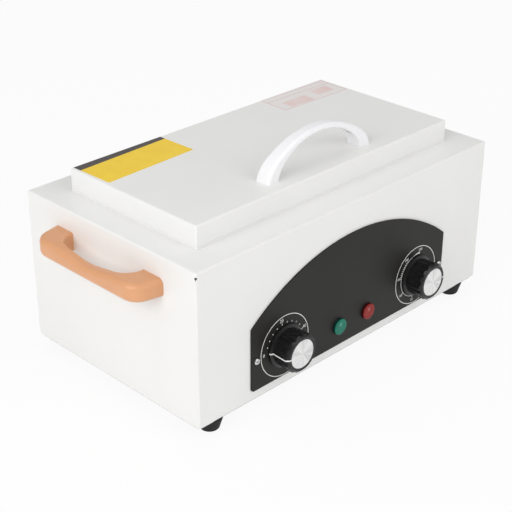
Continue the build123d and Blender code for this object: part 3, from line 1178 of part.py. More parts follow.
def nodes():
    foot = rubber_foot()
    for name, x, y in foot_places():
        yield name, Pos(x, y) * foot
    yield "outer_casing", outer_casing()
    yield "base_plate", base_plate()
    yield "foot_screws", foot_screws()
    yield "foot_nuts", foot_nuts()
    yield "base_screws", base_screws()
    yield "inner_chamber", inner_chamber()
    yield "instrument_tray", instrument_tray()
    yield "chamber_insulation", chamber_insulation()
    yield "heating_element", heating_element()
    yield "heater_clamps", heater_clamps()
    yield "heater_nuts", heater_nuts()
    yield "heat_shield", heat_shield()
    yield "base_insulation", base_insulation()
    yield "thermostat_body", thermostat_body()
    yield "thermostat_bulb", thermostat_bulb()
    yield "bulb_clips", bulb_clips()
    yield "thermostat_screws", control_screws(DIAL_X)
    yield "thermal_cutout", thermal_cutout()
    yield "timer_body", timer_body()
    yield "timer_screws", control_screws(-DIAL_X)
    yield "control_panel", control_panel()
    yield "panel_screws", panel_screws()
    yield "green_lamp_lens", lamp_lens(-LAMP_X)
    yield "green_lamp_body", lamp_body(-LAMP_X)
    yield "red_lamp_lens", lamp_lens(LAMP_X)
    yield "red_lamp_body", lamp_body(LAMP_X)
    yield "temperature_knob", knob(DIAL_X, TEMPERATURE_POINTER_ANGLE)
    yield "temperature_disc", knob_disc(DIAL_X)
    yield "temperature_shaft", knob_shaft(DIAL_X, TEMPERATURE_POINTER_ANGLE)
    yield "timer_knob", knob(-DIAL_X, TIMER_POINTER_ANGLE)
    yield "timer_disc", knob_disc(-DIAL_X)
    yield "timer_shaft", knob_shaft(-DIAL_X, TIMER_POINTER_ANGLE)
    yield "right_handle", right_handle()
    yield "left_handle", left_handle()
    yield "handle_screws", handle_screws()
    yield "power_inlet", power_inlet()
    yield "inlet_pins", inlet_pins()
    yield "inlet_screws", inlet_screws()
    yield "terminal_block", terminal_block()
    for side, word in ((-1, "left"), (1, "right")):
        yield f"{word}_hinge_base_leaf", hinge_base_leaf(side)
        yield f"{word}_hinge_lid_leaf", hinge_lid_leaf(side)
    yield "hinge_pins", hinge_pins()
    yield "hinge_base_rivets", hinge_base_rivets()
    yield "hinge_lid_rivets", hinge_lid_rivets()
    yield "lid_shell", lid_shell()
    yield "lid_liner", lid_liner()
    yield "lid_insulation", lid_insulation()
    yield "lid_handle", lid_handle()
    yield "lid_handle_screws", lid_handle_screws()


os.makedirs("parts", exist_ok=True)
for node_name, shape in nodes():
    export_step(shape, f"parts/{node_name}.step")
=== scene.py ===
import json
import math

import bmesh
import bpy
from mathutils import Euler, Matrix, Vector


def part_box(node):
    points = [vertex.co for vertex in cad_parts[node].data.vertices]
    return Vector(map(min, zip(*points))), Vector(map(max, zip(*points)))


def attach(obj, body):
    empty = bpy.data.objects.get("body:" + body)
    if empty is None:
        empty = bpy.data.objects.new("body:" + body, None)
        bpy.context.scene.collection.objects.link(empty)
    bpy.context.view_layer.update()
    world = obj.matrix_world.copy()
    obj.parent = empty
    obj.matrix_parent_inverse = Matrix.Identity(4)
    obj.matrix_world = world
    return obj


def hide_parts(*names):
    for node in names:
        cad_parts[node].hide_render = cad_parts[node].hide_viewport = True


# Dry heat sterilizer: finishes, dial print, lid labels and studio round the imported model

MM = 0.001

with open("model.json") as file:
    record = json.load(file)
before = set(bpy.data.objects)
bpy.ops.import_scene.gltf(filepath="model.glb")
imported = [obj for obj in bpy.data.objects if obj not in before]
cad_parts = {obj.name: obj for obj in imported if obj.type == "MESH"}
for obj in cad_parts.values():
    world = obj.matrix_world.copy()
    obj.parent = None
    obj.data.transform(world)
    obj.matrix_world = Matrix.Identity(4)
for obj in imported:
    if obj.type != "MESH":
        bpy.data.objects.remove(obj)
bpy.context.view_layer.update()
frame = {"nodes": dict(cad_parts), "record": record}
nodes = frame["nodes"]


def middle(node):
    """The middle of a node's box at rest."""
    low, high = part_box(node)
    return (low + high) / 2


CASING_LOW, CASING_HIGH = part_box("outer_casing")
CASING_BEND = 1.6 * MM
PANEL_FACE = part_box("control_panel")[0].y
LID_LOW, LID_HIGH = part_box("lid_shell")
LID_TOP = LID_HIGH.z
LID_BEND = 1.5 * MM
TIMER = middle("timer_disc")
TEMPERATURE = middle("temperature_disc")


# Shader maths

class Value:
    """A shader socket that Python's operators work on."""

    def __init__(self, finish, socket):
        self.finish = finish
        self.socket = socket

    def maths(self, operation, first, second=0.0):
        return self.finish.node("ShaderNodeMath", {"operation": operation}, {0: first, 1: second})

    def __add__(self, other):
        return self.maths("ADD", self, other)

    __radd__ = __add__

    def __sub__(self, other):
        return self.maths("SUBTRACT", self, other)

    def __rsub__(self, other):
        return self.maths("SUBTRACT", other, self)

    def __mul__(self, other):
        return self.maths("MULTIPLY", self, other)

    __rmul__ = __mul__

    def __truediv__(self, other):
        return self.maths("DIVIDE", self, other)

    def __gt__(self, other):
        return self.maths("GREATER_THAN", self, other)

    def __lt__(self, other):
        return self.maths("LESS_THAN", self, other)

    def __abs__(self):
        return self.maths("ABSOLUTE", self)


class Finish:
    """One material round a Principled shader."""

    def __init__(self, name, **constants):
        self.material = bpy.data.materials.new(name)
        self.material.use_nodes = True
        self.tree = self.material.node_tree
        self.shader = self.tree.nodes["Principled BSDF"]
        for socket, value in constants.items():
            self.shader.inputs[socket.replace("_", " ")].default_value = value
        self.place = self.node("ShaderNodeTexCoord", {}, {}, "Object")
        parts = self.node("ShaderNodeSeparateXYZ", {}, {0: self.place})
        outputs = parts.socket.node.outputs
        self.x, self.y, self.z = (Value(self, output) for output in outputs)

    def node(self, kind, settings, values, output=0):
        """Any node: its settings first, then the values or links of its sockets."""
        made = self.tree.nodes.new(kind)
        for setting, value in settings.items():
            if setting == "stops":
                self.set_stops(made.color_ramp, value)
            else:
                setattr(made, setting, value)
        for socket, value in values.items():
            if isinstance(value, Value):
                self.tree.links.new(value.socket, made.inputs[socket])
            else:
                made.inputs[socket].default_value = value
        return Value(self, made.outputs[output])

    @staticmethod
    def set_stops(ramp, stops):
        """Give a colour ramp its stops."""
        while len(ramp.elements) < len(stops):
            ramp.elements.new(0.5)
        for element, (position, colour) in zip(ramp.elements, stops):
            element.position = position
            element.color = (*colour, 1)

    def stretched(self, x, y, z):
        """Object coordinates scaled along each axis."""
        settings = {"operation": "MULTIPLY"}
        return self.node("ShaderNodeVectorMath", settings, {0: self.place, 1: (x, y, z)})

    def noise(self, scale, detail=2.0, roughness=0.5, place=None):
        """Noise round 0.5."""
        values = {"Vector": place or self.place, "Scale": scale}
        values.update({"Detail": detail, "Roughness": roughness})
        return self.node("ShaderNodeTexNoise", {}, values)

    def between(self, factor, low, high):
        """A value from low to high as the noise goes from 0.3 to 0.7."""
        return self.ramp(factor, 0.3, 0.7, low, high)

    def ramp(self, value, start, end, low, high):
        """A straight slope from low at the start to high at the end, level outside them."""
        values = {"Value": value, "From Min": start, "From Max": end, "To Min": low, "To Max": high}
        return self.node("ShaderNodeMapRange", {}, values)

    def distance(self, across, up):
        """How far a point is from a middle that across and up are measured from."""
        return self.node("ShaderNodeMath", {"operation": "SQRT"}, {0: across * across + up * up})

    def mix(self, factor, first, second):
        """Two colours mixed."""
        values = {0: factor}
        for socket, colour in ((6, first), (7, second)):
            values[socket] = colour if isinstance(colour, Value) else (*colour, 1)
        return self.node("ShaderNodeMix", {"data_type": "RGBA"}, values, 2)

    def set(self, socket, value):
        """Link a value to one of the shader's own sockets."""
        self.tree.links.new(value.socket, self.shader.inputs[socket])

    def bump(self, height, depth, strength=1.0):
        """Height from 0 to 1 as relief of a depth in metres."""
        values = {"Strength": strength, "Distance": depth, "Height": height}
        self.set("Normal", self.node("ShaderNodeBump", {}, values))


# Finishes

def powder_coat(name, colour, shade):
    """Sprayed and baked paint: a fine orange peel and faint clouding."""
    finish = Finish(name, Specular_IOR_Level=0.5, Coat_Weight=0.0)
    cloud = finish.noise(9.0, 3.0)
    speck = finish.noise(1400.0, 1.0)
    tone = finish.mix(finish.between(cloud, 0.0, 1.0), colour, shade)
    finish.set("Base Color", finish.mix(finish.between(speck, 0.0, 0.12), tone, shade))
    finish.set("Roughness", finish.between(finish.noise(30.0, 4.0), 0.30, 0.40))
    peel = finish.noise(520.0, 2.0, 0.45) + 0.35 * finish.noise(2100.0, 1.0)
    finish.bump(peel, 0.00006, 0.5)
    return finish.material


def rolled_sheet(name, colour, shade, roughness, grain):
    """Stainless sheet with the fine lines of its rolling along X."""
    finish = Finish(name, Metallic=1.0)
    lines = finish.noise(1.0, 3.0, 0.6, finish.stretched(*grain))
    cloud = finish.noise(14.0, 3.0)
    tone = finish.mix(finish.between(lines, 0.0, 1.0), colour, shade)
    finish.set("Base Color", finish.mix(finish.between(cloud, 0.0, 0.4), tone, shade))
    finish.set("Roughness", finish.between(lines * 0.6 + cloud * 0.4, roughness, roughness + 0.14))
    finish.bump(lines, 0.00001, 0.5)
    return finish.material


def spangled_zinc(name):
    """Hot-dipped sheet with its crystal spangle."""
    finish = Finish(name, Metallic=1.0)
    values = {"Vector": finish.place, "Scale": 140.0, "Randomness": 1.0}
    cell = finish.node("ShaderNodeTexVoronoi", {"feature": "F1"}, values, "Color")
    shade = finish.node("ShaderNodeSeparateColor", {}, {0: cell})
    fine = finish.noise(900.0, 2.0)
    tone = finish.mix(shade, (0.42, 0.43, 0.45), (0.62, 0.63, 0.65))
    finish.set("Base Color", finish.mix(finish.between(fine, 0.0, 0.3), tone, (0.5, 0.5, 0.51)))
    finish.set("Roughness", finish.between(shade * 0.5 + fine * 0.5, 0.34, 0.5))
    finish.bump(fine, 0.00001, 0.4)
    return finish.material


def plated_steel(name, colour, dull):
    """Bright plating, a little dull in patches."""
    finish = Finish(name, Metallic=1.0)
    cloud = finish.noise(420.0, 3.0)
    finish.set("Base Color", finish.mix(finish.between(cloud, 0.0, 1.0), colour, dull))
    finish.set("Roughness", finish.between(finish.noise(900.0, 2.0), 0.18, 0.34))
    finish.bump(finish.noise(2600.0, 1.0), 0.000008, 0.4)
    return finish.material


def moulding(name, colour, shade, roughness, texture_scale, texture_depth, **constants):
    """Moulded plastic or rubber with its mould's fine texture."""
    finish = Finish(name, **constants)
    cloud = finish.noise(26.0, 3.0)
    grain = finish.noise(texture_scale, 2.0, 0.6)
    tone = finish.mix(finish.between(cloud, 0.0, 1.0), colour, shade)
    finish.set("Base Color", finish.mix(finish.between(grain, 0.0, 0.25), tone, shade))
    finish.set("Roughness", finish.between(cloud * 0.5 + grain * 0.5, roughness, roughness + 0.1))
    finish.bump(grain, texture_depth, 0.6)
    return finish.material


POINTER_LINE = 1.24 * MM
POINTER_START = 13.2 * MM


def knob_plastic(name, centre, direction):
    """Black with a little gloss, and a white line in the pointer rib."""
    finish = Finish(name, Specular_IOR_Level=0.36)
    across = abs(finish.z - centre.z)
    along = (finish.x - centre.x) * direction
    line = (across < POINTER_LINE / 2) * (along > POINTER_START)
    cloud = finish.noise(60.0, 3.0)
    black, worn = (0.006, 0.006, 0.0065), (0.011, 0.011, 0.0115)
    black = finish.mix(finish.between(cloud, 0.0, 1.0), black, worn)
    finish.set("Base Color", finish.mix(line, black, (0.82, 0.82, 0.80)))
    finish.set("Roughness", finish.between(finish.noise(240.0, 3.0), 0.24, 0.36))
    finish.bump(finish.noise(1500.0, 2.0), 0.00002, 0.4)
    return finish.material


def spun_aluminium(name, centre):
    """Face-turned aluminium: grain in circles, and a painted reflection in pale and dark wedges."""
    finish = Finish(name, Metallic=1.0)
    across, up = finish.x - centre.x, finish.z - centre.z
    radius = finish.distance(across, up)
    ring_place = finish.node("ShaderNodeCombineXYZ", {}, {0: radius * 2600.0})
    ring = finish.noise(1.0, 3.0, 0.7, ring_place)
    direction = {0: across / radius, 1: up / radius}
    sector_place = finish.node("ShaderNodeCombineXYZ", {}, direction)
    # Painted reflection: pale and dark wedges round the disc middle stand in for the spun face's
    # gleam
    painted_reflection_sectors = finish.noise(1.7, 3.0, 0.6, sector_place)
    painted_highlight_grey, painted_shade_grey = (0.90, 0.90, 0.89), (0.58, 0.58, 0.58)
    tone = finish.mix(finish.between(painted_reflection_sectors, 0.0, 1.0), painted_highlight_grey, painted_shade_grey)
    finish.set("Base Color", finish.mix(finish.between(ring, 0.0, 0.35), tone, (0.66, 0.66, 0.67)))
    finish.set("Roughness", finish.between(ring, 0.20, 0.34))
    finish.bump(ring, 0.00001, 0.5)
    return finish.material


def panel_paint(name):
    """Satin black with a fine tooth."""
    finish = Finish(name, Specular_IOR_Level=0.20)
    cloud = finish.noise(18.0, 3.0)
    tooth = finish.noise(1800.0, 2.0, 0.6)
    black, shade = (0.0135, 0.0130, 0.0120), (0.0175, 0.0170, 0.0155)
    tone = finish.mix(finish.between(cloud, 0.0, 1.0), black, shade)
    worn = (0.026, 0.025, 0.024)
    finish.set("Base Color", finish.mix(finish.between(tooth, 0.0, 0.2), tone, worn))
    finish.set("Roughness", finish.between(tooth, 0.42, 0.54))
    finish.bump(tooth, 0.00002, 0.5)
    return finish.material


# The lens side within this distance of the panel face takes the painted shade
LENS_FACE_FROM = 2.2 * MM
# Place and size of the painted highlight on each lens
PAINTED_HIGHLIGHT_LEFT, PAINTED_HIGHLIGHT_UP = 0.8 * MM, 2.6 * MM
PAINTED_HIGHLIGHT_EDGE, PAINTED_HIGHLIGHT_CORE = 2.4 * MM, 0.3 * MM


def lamp_lens(name, colour, mottle_and_painted_shade, painted_highlight, centre):
    """Tinted plastic, prismed face painted lit, side in painted shade, painted highlight near the
    top.
    """
    gloss = {"Coat_Weight": 0.03, "Coat_Roughness": 0.08, "Specular_IOR_Level": 0.16}
    finish = Finish(name, **gloss)
    values = {"Vector": finish.place, "Scale": 520.0, "Randomness": 0.35}
    prism = finish.node("ShaderNodeTexVoronoi", {"feature": "F1"}, values, "Distance")
    # Painted shade: the lens side takes the darker colour, the face takes the painted lit colour
    face = finish.y < PANEL_FACE - LENS_FACE_FROM
    cloud = finish.noise(160.0, 2.0)
    lit = finish.mix(finish.between(cloud, 0.0, 0.45), colour, mottle_and_painted_shade)
    # Painted highlight: a soft pale spot up and to the left of the lens middle
    across = finish.x - (centre.x - PAINTED_HIGHLIGHT_LEFT)
    up = finish.z - (centre.z + PAINTED_HIGHLIGHT_UP)
    spot = finish.ramp(finish.distance(across, up), PAINTED_HIGHLIGHT_EDGE, PAINTED_HIGHLIGHT_CORE, 0.0, 0.5)
    lit = finish.mix(spot, lit, painted_highlight)
    finish.set("Base Color", finish.mix(face * 0.9, mottle_and_painted_shade, lit))
    finish.set("Roughness", finish.between(cloud, 0.12, 0.2))
    finish.bump(prism, 0.0002, 0.16)
    return finish.material


def glass_wool(name):
    """Bonded fibre blanket."""
    finish = Finish(name, Specular_IOR_Level=0.1, Sheen_Weight=0.3, Sheen_Roughness=0.6)
    fibre = finish.noise(1.0, 4.0, 0.7, finish.stretched(260.0, 900.0, 900.0))
    tuft = finish.noise(90.0, 4.0, 0.6)
    tone = finish.mix(finish.between(tuft, 0.0, 1.0), (0.72, 0.66, 0.44), (0.56, 0.50, 0.32))
    finish.set("Base Color", finish.mix(finish.between(fibre, 0.0, 0.6), tone, (0.80, 0.76, 0.58)))
    finish.set("Roughness", finish.between(fibre, 0.82, 0.96))
    finish.bump(fibre * 0.5 + tuft, 0.0012, 0.8)
    return finish.material


def on_label(finish, corner, turn):
    """Distances along and up a label from its front left corner."""
    x, y = finish.x - corner[0], finish.y - corner[1]
    cos, sin = math.cos(turn), math.sin(turn)
    return x * cos + y * sin, y * cos - x * sin


def smooth_film(finish, grain, mottle):
    """The even surface of a printed film."""
    finish.set("Roughness", finish.between(grain, 0.34, 0.44))
    finish.bump(grain * 0.4 + mottle, 0.00004, 0.4)


def banded_label(name, corner, turn, band_from):
    """Yellow vinyl with a plain dark band along its rear edge."""
    finish = Finish(name, Specular_IOR_Level=0.4)
    _, up = on_label(finish, corner, turn)
    mottle = finish.noise(70.0, 3.0)
    grain = finish.noise(1600.0, 1.0)
    clouds = finish.between(mottle, 0.0, 1.0)
    field = finish.mix(clouds, (0.95, 0.665, 0.038), (0.92, 0.62, 0.030))
    clouds = finish.between(mottle, 0.0, 1.0)
    band = finish.mix(clouds, (0.075, 0.065, 0.060), (0.058, 0.050, 0.047))
    finish.set("Base Color", finish.mix(up > band_from, field, band))
    smooth_film(finish, grain, mottle)
    return finish.material


FRAME_INSET = 1.6 * MM
LINE_HALF = 0.35 * MM
HEADER_LOW, HEADER_HIGH = 26.0 * MM, 34.0 * MM
PINK_FIELDS = (((27 * MM, 15 * MM), (10.5 * MM, 7.0 * MM)),
               ((64 * MM, 11 * MM), (16 * MM, 6.5 * MM)))


def framed_label(name, corner, turn, width):
    """Pale film with a thin frame line, two lines of a header and two soft pink fields."""
    finish = Finish(name, Specular_IOR_Level=0.4)
    along, up = on_label(finish, corner, turn)
    mottle = finish.noise(60.0, 3.0)
    grain = finish.noise(1600.0, 1.0)
    clouds = finish.between(mottle, 0.0, 1.0)
    film = finish.mix(clouds, (0.845, 0.815, 0.80), (0.83, 0.79, 0.775))
    past_frame = abs(along - width / 2) - (width / 2 - FRAME_INSET)
    frame_line = (abs(past_frame) < LINE_HALF) + (abs(up - FRAME_INSET) < LINE_HALF)
    header_line = (abs(up - HEADER_LOW) < LINE_HALF) + (abs(up - HEADER_HIGH) < LINE_HALF)
    lines = (frame_line + header_line) * (past_frame < LINE_HALF) * (up > FRAME_INSET - 0.4 * MM)
    fields = 0.0
    for (across_middle, half_width), (up_middle, half_height) in PINK_FIELDS:
        inside = abs(along - across_middle) < half_width
        fields = fields + inside * (abs(up - up_middle) < half_height)
    film = finish.mix(fields * finish.between(mottle, 0.35, 0.75), film, (0.82, 0.56, 0.53))
    finish.set("Base Color", finish.mix(lines * 0.7, film, (0.74, 0.40, 0.38)))
    smooth_film(finish, grain, mottle)
    return finish.material


def print_ink(name):
    """White screen print, a little thin in places."""
    finish = Finish(name, Specular_IOR_Level=0.3)
    thin = finish.noise(900.0, 3.0)
    full, faint = (0.90, 0.90, 0.88), (0.66, 0.66, 0.65)
    finish.set("Base Color", finish.mix(finish.between(thin, 0.0, 0.5), full, faint))
    finish.set("Roughness", finish.between(thin, 0.5, 0.62))
    finish.bump(thin, 0.00001, 0.3)
    return finish.material


def heated_sheath(name):
    """Element tube, oxidised brown and grey by heat."""
    finish = Finish(name, Metallic=0.85)
    patch = finish.noise(45.0, 4.0, 0.6)
    stops = [(0.30, (0.10, 0.09, 0.08)), (0.5, (0.20, 0.16, 0.12)), (0.7, (0.24, 0.25, 0.27))]
    finish.set("Base Color", finish.node("ShaderNodeValToRGB", {"stops": stops}, {0: patch}))
    finish.set("Roughness", finish.between(finish.noise(700.0, 3.0), 0.42, 0.6))
    finish.bump(finish.noise(1200.0, 2.0), 0.00003, 0.5)
    return finish.material


white_paint = powder_coat("white_powder_coat", (0.865, 0.862, 0.848), (0.835, 0.832, 0.818))
stainless = rolled_sheet("stainless_sheet", (0.62, 0.62, 0.61), (0.52, 0.52, 0.52), 0.20,
                         (24.0, 1500.0, 1500.0))
zinc_sheet = spangled_zinc("zinc_coated_sheet")
zinc_screw = plated_steel("plated_screws", (0.70, 0.70, 0.71), (0.52, 0.52, 0.53))
copper = plated_steel("drawn_copper", (0.68, 0.34, 0.22), (0.45, 0.22, 0.15))
contact_brass = plated_steel("contact_blades", (0.75, 0.58, 0.28), (0.60, 0.46, 0.22))
tan = moulding("tan_moulding", (0.73, 0.365, 0.185), (0.68, 0.33, 0.16), 0.27, 1500.0, 0.00003)
white_plastic = moulding("white_moulding", (0.92, 0.92, 0.935), (0.895, 0.895, 0.91), 0.42,
                         900.0, 0.00001, Specular_IOR_Level=0.32)
black_plastic = moulding("black_moulding", (0.016, 0.016, 0.017), (0.024, 0.024, 0.024), 0.45,
                         1800.0, 0.00004)
rubber = moulding("black_rubber", (0.007, 0.007, 0.007), (0.012, 0.012, 0.012), 0.62,
                  1100.0, 0.00008, Specular_IOR_Level=0.3)
phenolic = moulding("brown_phenolic", (0.045, 0.020, 0.011), (0.030, 0.014, 0.009), 0.32,
                    800.0, 0.00002)
cream = moulding("cream_moulding", (0.72, 0.67, 0.52), (0.66, 0.61, 0.47), 0.40, 900.0, 0.00002)
ink = print_ink("white_print")
# Each lens: its colour, a darker colour for mottle and painted side shade, and its painted
# highlight colour
green_lens = lamp_lens("green_lens", (0.014, 0.245, 0.165), (0.004, 0.035, 0.026),
                       (0.22, 0.62, 0.52), middle("green_lamp_lens"))
red_lens = lamp_lens("red_lens", (0.35, 0.026, 0.022), (0.045, 0.003, 0.004),
                     (0.70, 0.24, 0.20), middle("red_lamp_lens"))

FINISHES = {
    "white_paint": white_paint,
    "zinc_sheet": zinc_sheet,
    "stainless": stainless,
    "panel_black": panel_paint("satin_black_panel"),
    "green_lens": green_lens,
    "red_lens": red_lens,
    "tan_plastic": tan,
    "white_plastic": white_plastic,
    "black_plastic": black_plastic,
    "rubber": rubber,
    "zinc_screw": zinc_screw,
    "glass_wool": glass_wool("fibre_blanket"),
    "element_sheath": heated_sheath("element_sheath"),
    "copper": copper,
    "contact_brass": contact_brass,
    "control_brown": phenolic,
    "block_cream": cream,
}
NODE_FINISHES = {
    "timer_knob": knob_plastic("timer_knob_black", TIMER, -1.0),
    "temperature_knob": knob_plastic("temperature_knob_black", TEMPERATURE, 1.0),
    "timer_disc": spun_aluminium("timer_disc_aluminium", TIMER),
    "temperature_disc": spun_aluminium("temperature_disc_aluminium", TEMPERATURE),
}
for part in frame["record"]["subparts"]:
    name = part["node"]
    finish = NODE_FINISHES.get(name) or FINISHES[part["material_slot"]]
    nodes[name].data.materials.clear()
    nodes[name].data.materials.append(finish)


# Print and labels

def finished_piece(name, shape, material, body):
    """A mesh object at the origin that rides on a body."""
    mesh = bpy.data.meshes.new(name)
    shape.to_mesh(mesh)
    shape.free()
    mesh.materials.append(material)
    piece = bpy.data.objects.new(name, mesh)
    bpy.context.scene.collection.objects.link(piece)
    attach(piece, body)
    return piece


def flat_sheet(shape, place, width, depth):
    """A flat rectangle, its middle at a place."""
    place = place @ Matrix.Diagonal((width, depth, 1, 1))
    bmesh.ops.create_grid(shape, x_segments=1, y_segments=1, size=0.5, matrix=place)


def thicken(shape, height):
    """Flat faces raised into a solid."""
    raised = bmesh.ops.extrude_face_region(shape, geom=shape.faces[:])
    top = [item for item in raised["geom"] if isinstance(item, bmesh.types.BMVert)]
    bmesh.ops.translate(shape, verts=top, vec=(0, 0, height))


def round_corners(shape, offset, segments):
    """The corners of a flat sheet rounded."""
    bmesh.ops.bevel(shape, geom=shape.verts[:], offset=offset, affect="VERTICES",
                    segments=segments, profile=0.5, material=-1)


def on_dial(radius, angle):
    """A place on a dial, by its radius and its angle from the three o'clock side."""
    return Matrix.Rotation(math.radians(angle), 4, "Z") @ Matrix.Translation((radius, 0, 0))


def arc_strip(shape, radius, width, start, end, steps):
    """A strip of print along an arc, by angles from the three o'clock side."""
    first = Matrix.Rotation(math.radians(start), 4, "Z")
    ends = [shape.verts.new(first @ Vector((radius + side * width / 2, 0, 0))) for side in (-1, 1)]
    edge = shape.edges.new(ends)
    full = abs(end - start) == 360
    bmesh.ops.spin(shape, geom=[*ends, edge], axis=(0, 0, 1), cent=(0, 0, 0), steps=steps,
                   angle=math.radians(end - start), use_merge=full)


def tick(shape, radius, length, width, angle):
    """A short radial line."""
    flat_sheet(shape, on_dial(radius, angle), length, width)


def dot(shape, radius, size, angle):
    """A round dot."""
    bmesh.ops.create_circle(shape, cap_ends=True, segments=16, radius=size,
                            matrix=on_dial(radius, angle))


def number(shape, text, radius, angle, size):
    """A number, upright, its middle at a radius and angle."""
    curve = bpy.data.curves.new("number", "FONT")
    curve.body = text
    curve.size = size
    curve.align_x = "CENTER"
    curve.align_y = "CENTER"
    writing = bpy.data.objects.new("number", curve)
    bpy.context.scene.collection.objects.link(writing)
    bpy.context.view_layer.update()
    finished = writing.evaluated_get(bpy.context.evaluated_depsgraph_get())
    mesh = bpy.data.meshes.new_from_object(finished)
    spot = Matrix.Rotation(math.radians(angle), 4, "Z") @ Vector((radius, 0, 0))
    mesh.transform(Matrix.Translation(spot))
    shape.from_mesh(mesh)
    bpy.data.meshes.remove(mesh)
    bpy.data.objects.remove(writing)
    bpy.data.curves.remove(curve)


INK_THICKNESS = 0.06


def printed_dial(name, shape, centre):
    """Flat shapes in millimetres, given the thickness of ink and set on the panel."""
    bmesh.ops.recalc_face_normals(shape, faces=shape.faces)
    for face in shape.faces:
        if face.normal.z < 0:
            face.normal_flip()
    thicken(shape, INK_THICKNESS)
    bmesh.ops.recalc_face_normals(shape, faces=shape.faces)
    stand = Matrix.Translation((centre.x, PANEL_FACE, centre.z))
    stand = stand @ Matrix.Rotation(math.pi / 2, 4, "X") @ Matrix.Diagonal((MM, MM, MM, 1))
    bmesh.ops.transform(shape, matrix=stand, verts=shape.verts)
    return finished_piece(name, shape, ink, "housing")


# Dials, in millimetres and degrees

DIAL_RING = 27.8
DIAL_LINE = 0.62
NUMBER_RADIUS = 24.5
TICK_RADIUS = 21.2
MINUTES = (0, 20, 40, 60)
MINUTES_START, MINUTES_STEP = 180, 80
MINUTE_NUMBER_SIZE = 4.2
MARKS_BETWEEN = 4
DEGREES = ((50, 262), (100, 215), (150, 171), (200, 125), (250, 78))
DEGREE_NUMBER_SIZE = 3.3
SCALE_ARC = 20.5
COMB_START, COMB_TURN, COMB_TEETH = 171, 46, 8


def timer_dial():
    """Minutes: four numbers 80 degrees apart, with dots and then ticks between them."""
    shape = bmesh.new()
    arc_strip(shape, DIAL_RING, DIAL_LINE, 0, 360, 120)
    for step, minutes in enumerate(MINUTES):
        angle = MINUTES_START - MINUTES_STEP * step
        number(shape, str(minutes), NUMBER_RADIUS, angle, MINUTE_NUMBER_SIZE)
        if step:
            tick(shape, TICK_RADIUS, 2.2, 0.6, angle)
        if minutes == MINUTES[-1]:
            break
        for minor in range(1, MARKS_BETWEEN + 1):
            mark = angle - MINUTES_STEP // (MARKS_BETWEEN + 1) * minor
            if step == 0:
                dot(shape, TICK_RADIUS, 0.55, mark)
            else:
                tick(shape, TICK_RADIUS, 1.5, 0.5, mark)
    return printed_dial("timer_dial_print", shape, TIMER)


def temperature_dial():
    """Degrees: numbers along an arc, with a comb between two and a wedge at the highest."""
    shape = bmesh.new()
    arc_strip(shape, DIAL_RING, DIAL_LINE, 0, 360, 120)
    for degrees, angle in DEGREES:
        number(shape, str(degrees), NUMBER_RADIUS - 0.1, angle, DEGREE_NUMBER_SIZE)
        tick(shape, TICK_RADIUS + 0.2, 1.8, 0.5, angle)
    arc_strip(shape, SCALE_ARC, 0.45, 78, 262, 60)
    for tooth in range(1, COMB_TEETH + 1):
        angle = COMB_START - COMB_TURN * tooth / (COMB_TEETH + 1)
        tick(shape, TICK_RADIUS + 0.2, 2.0, 0.55, angle)
    wedge_steps = 14
    for step in range(wedge_steps):
        left = 1 - step / wedge_steps
        tick(shape, SCALE_ARC + 0.8 * left, 1.6 * left + 0.3, 0.75, 78.8 + 2.0 * step)
    return printed_dial("temperature_dial_print", shape, TEMPERATURE)


# Lid labels

LABEL_THICKNESS = 0.1 * MM
LABEL_CORNER = 1.2 * MM
FOLD_CUTS = 7


def cut_across(shape, y, clear):
    """Cut a shape by a plane across Y, and clear what is behind it if wanted."""
    geometry = shape.verts[:] + shape.edges[:] + shape.faces[:]
    bmesh.ops.bisect_plane(shape, geom=geometry, plane_co=(0, y, 0), plane_no=(0, 1, 0),
                           clear_outer=clear)


def lid_label(name, corner, turn, width, depth, material):
    """A thin sheet, a little askew, folded over the lid's rear bend and cut there."""
    shape = bmesh.new()
    place = Matrix.Translation((*corner, LID_TOP)) @ Matrix.Rotation(turn, 4, "Z")
    flat_sheet(shape, place @ Matrix.Translation((width / 2, depth / 2, 0)), width, depth)
    round_corners(shape, LABEL_CORNER, 5)
    fold = LID_HIGH.y - LID_BEND
    cut_across(shape, fold + 1.3 * LID_BEND, True)
    thicken(shape, LABEL_THICKNESS)
    for step in range(FOLD_CUTS):
        cut_across(shape, fold + step * 0.2 * LID_BEND, False)
    for vert in shape.verts:
        angle = (vert.co.y - fold) / LID_BEND
        if angle > 0:
            radius = LID_BEND + vert.co.z - LID_TOP
            vert.co.y = fold + radius * math.sin(angle)
            vert.co.z = LID_TOP - LID_BEND + radius * math.cos(angle)
    bmesh.ops.recalc_face_normals(shape, faces=shape.faces)
    return finished_piece(name, shape, material, "lid")


# Welds, lid rim and feet

WELD_BASE = 0.4 * MM
WELD_HEIGHT = 132.2 * MM
WELD_INNER = 0.7 * MM
WELD_RECESS = 0.12 * MM
WELD_TURN = math.radians(18)


def corner_welds():
    """Painted weld in each corner seam, from the base to a little below the relief hole."""
    low, high = CASING_LOW, CASING_HIGH
    shape = bmesh.new()
    for x, y in ((low.x, low.y), (high.x, low.y), (low.x, high.y), (high.x, high.y)):
        inward = CASING_BEND if y == low.y else -CASING_BEND
        centre = Vector((x - math.copysign(CASING_BEND, x), y + inward, low.z + WELD_BASE))
        outward = math.atan2(y - centre.y, x - centre.x)
        turn = Matrix.Rotation(outward - WELD_TURN / 2, 3, "Z")
        ends = [shape.verts.new(centre + turn @ Vector((radius, 0, 0)))
                for radius in (WELD_INNER, CASING_BEND - WELD_RECESS)]
        edge = shape.edges.new(ends)
        bmesh.ops.spin(shape, geom=[*ends, edge], axis=(0, 0, 1), cent=centre, steps=4,
                       angle=WELD_TURN)
    thicken(shape, WELD_HEIGHT)
    bmesh.ops.recalc_face_normals(shape, faces=shape.faces)
    return finished_piece("corner_welds", shape, white_paint, "housing")


RIM_THICKNESS = 0.5 * MM
RIM_DROP = 1.35 * MM
RIM_LAP = 0.6 * MM
RIM_PROUD = 0.04 * MM


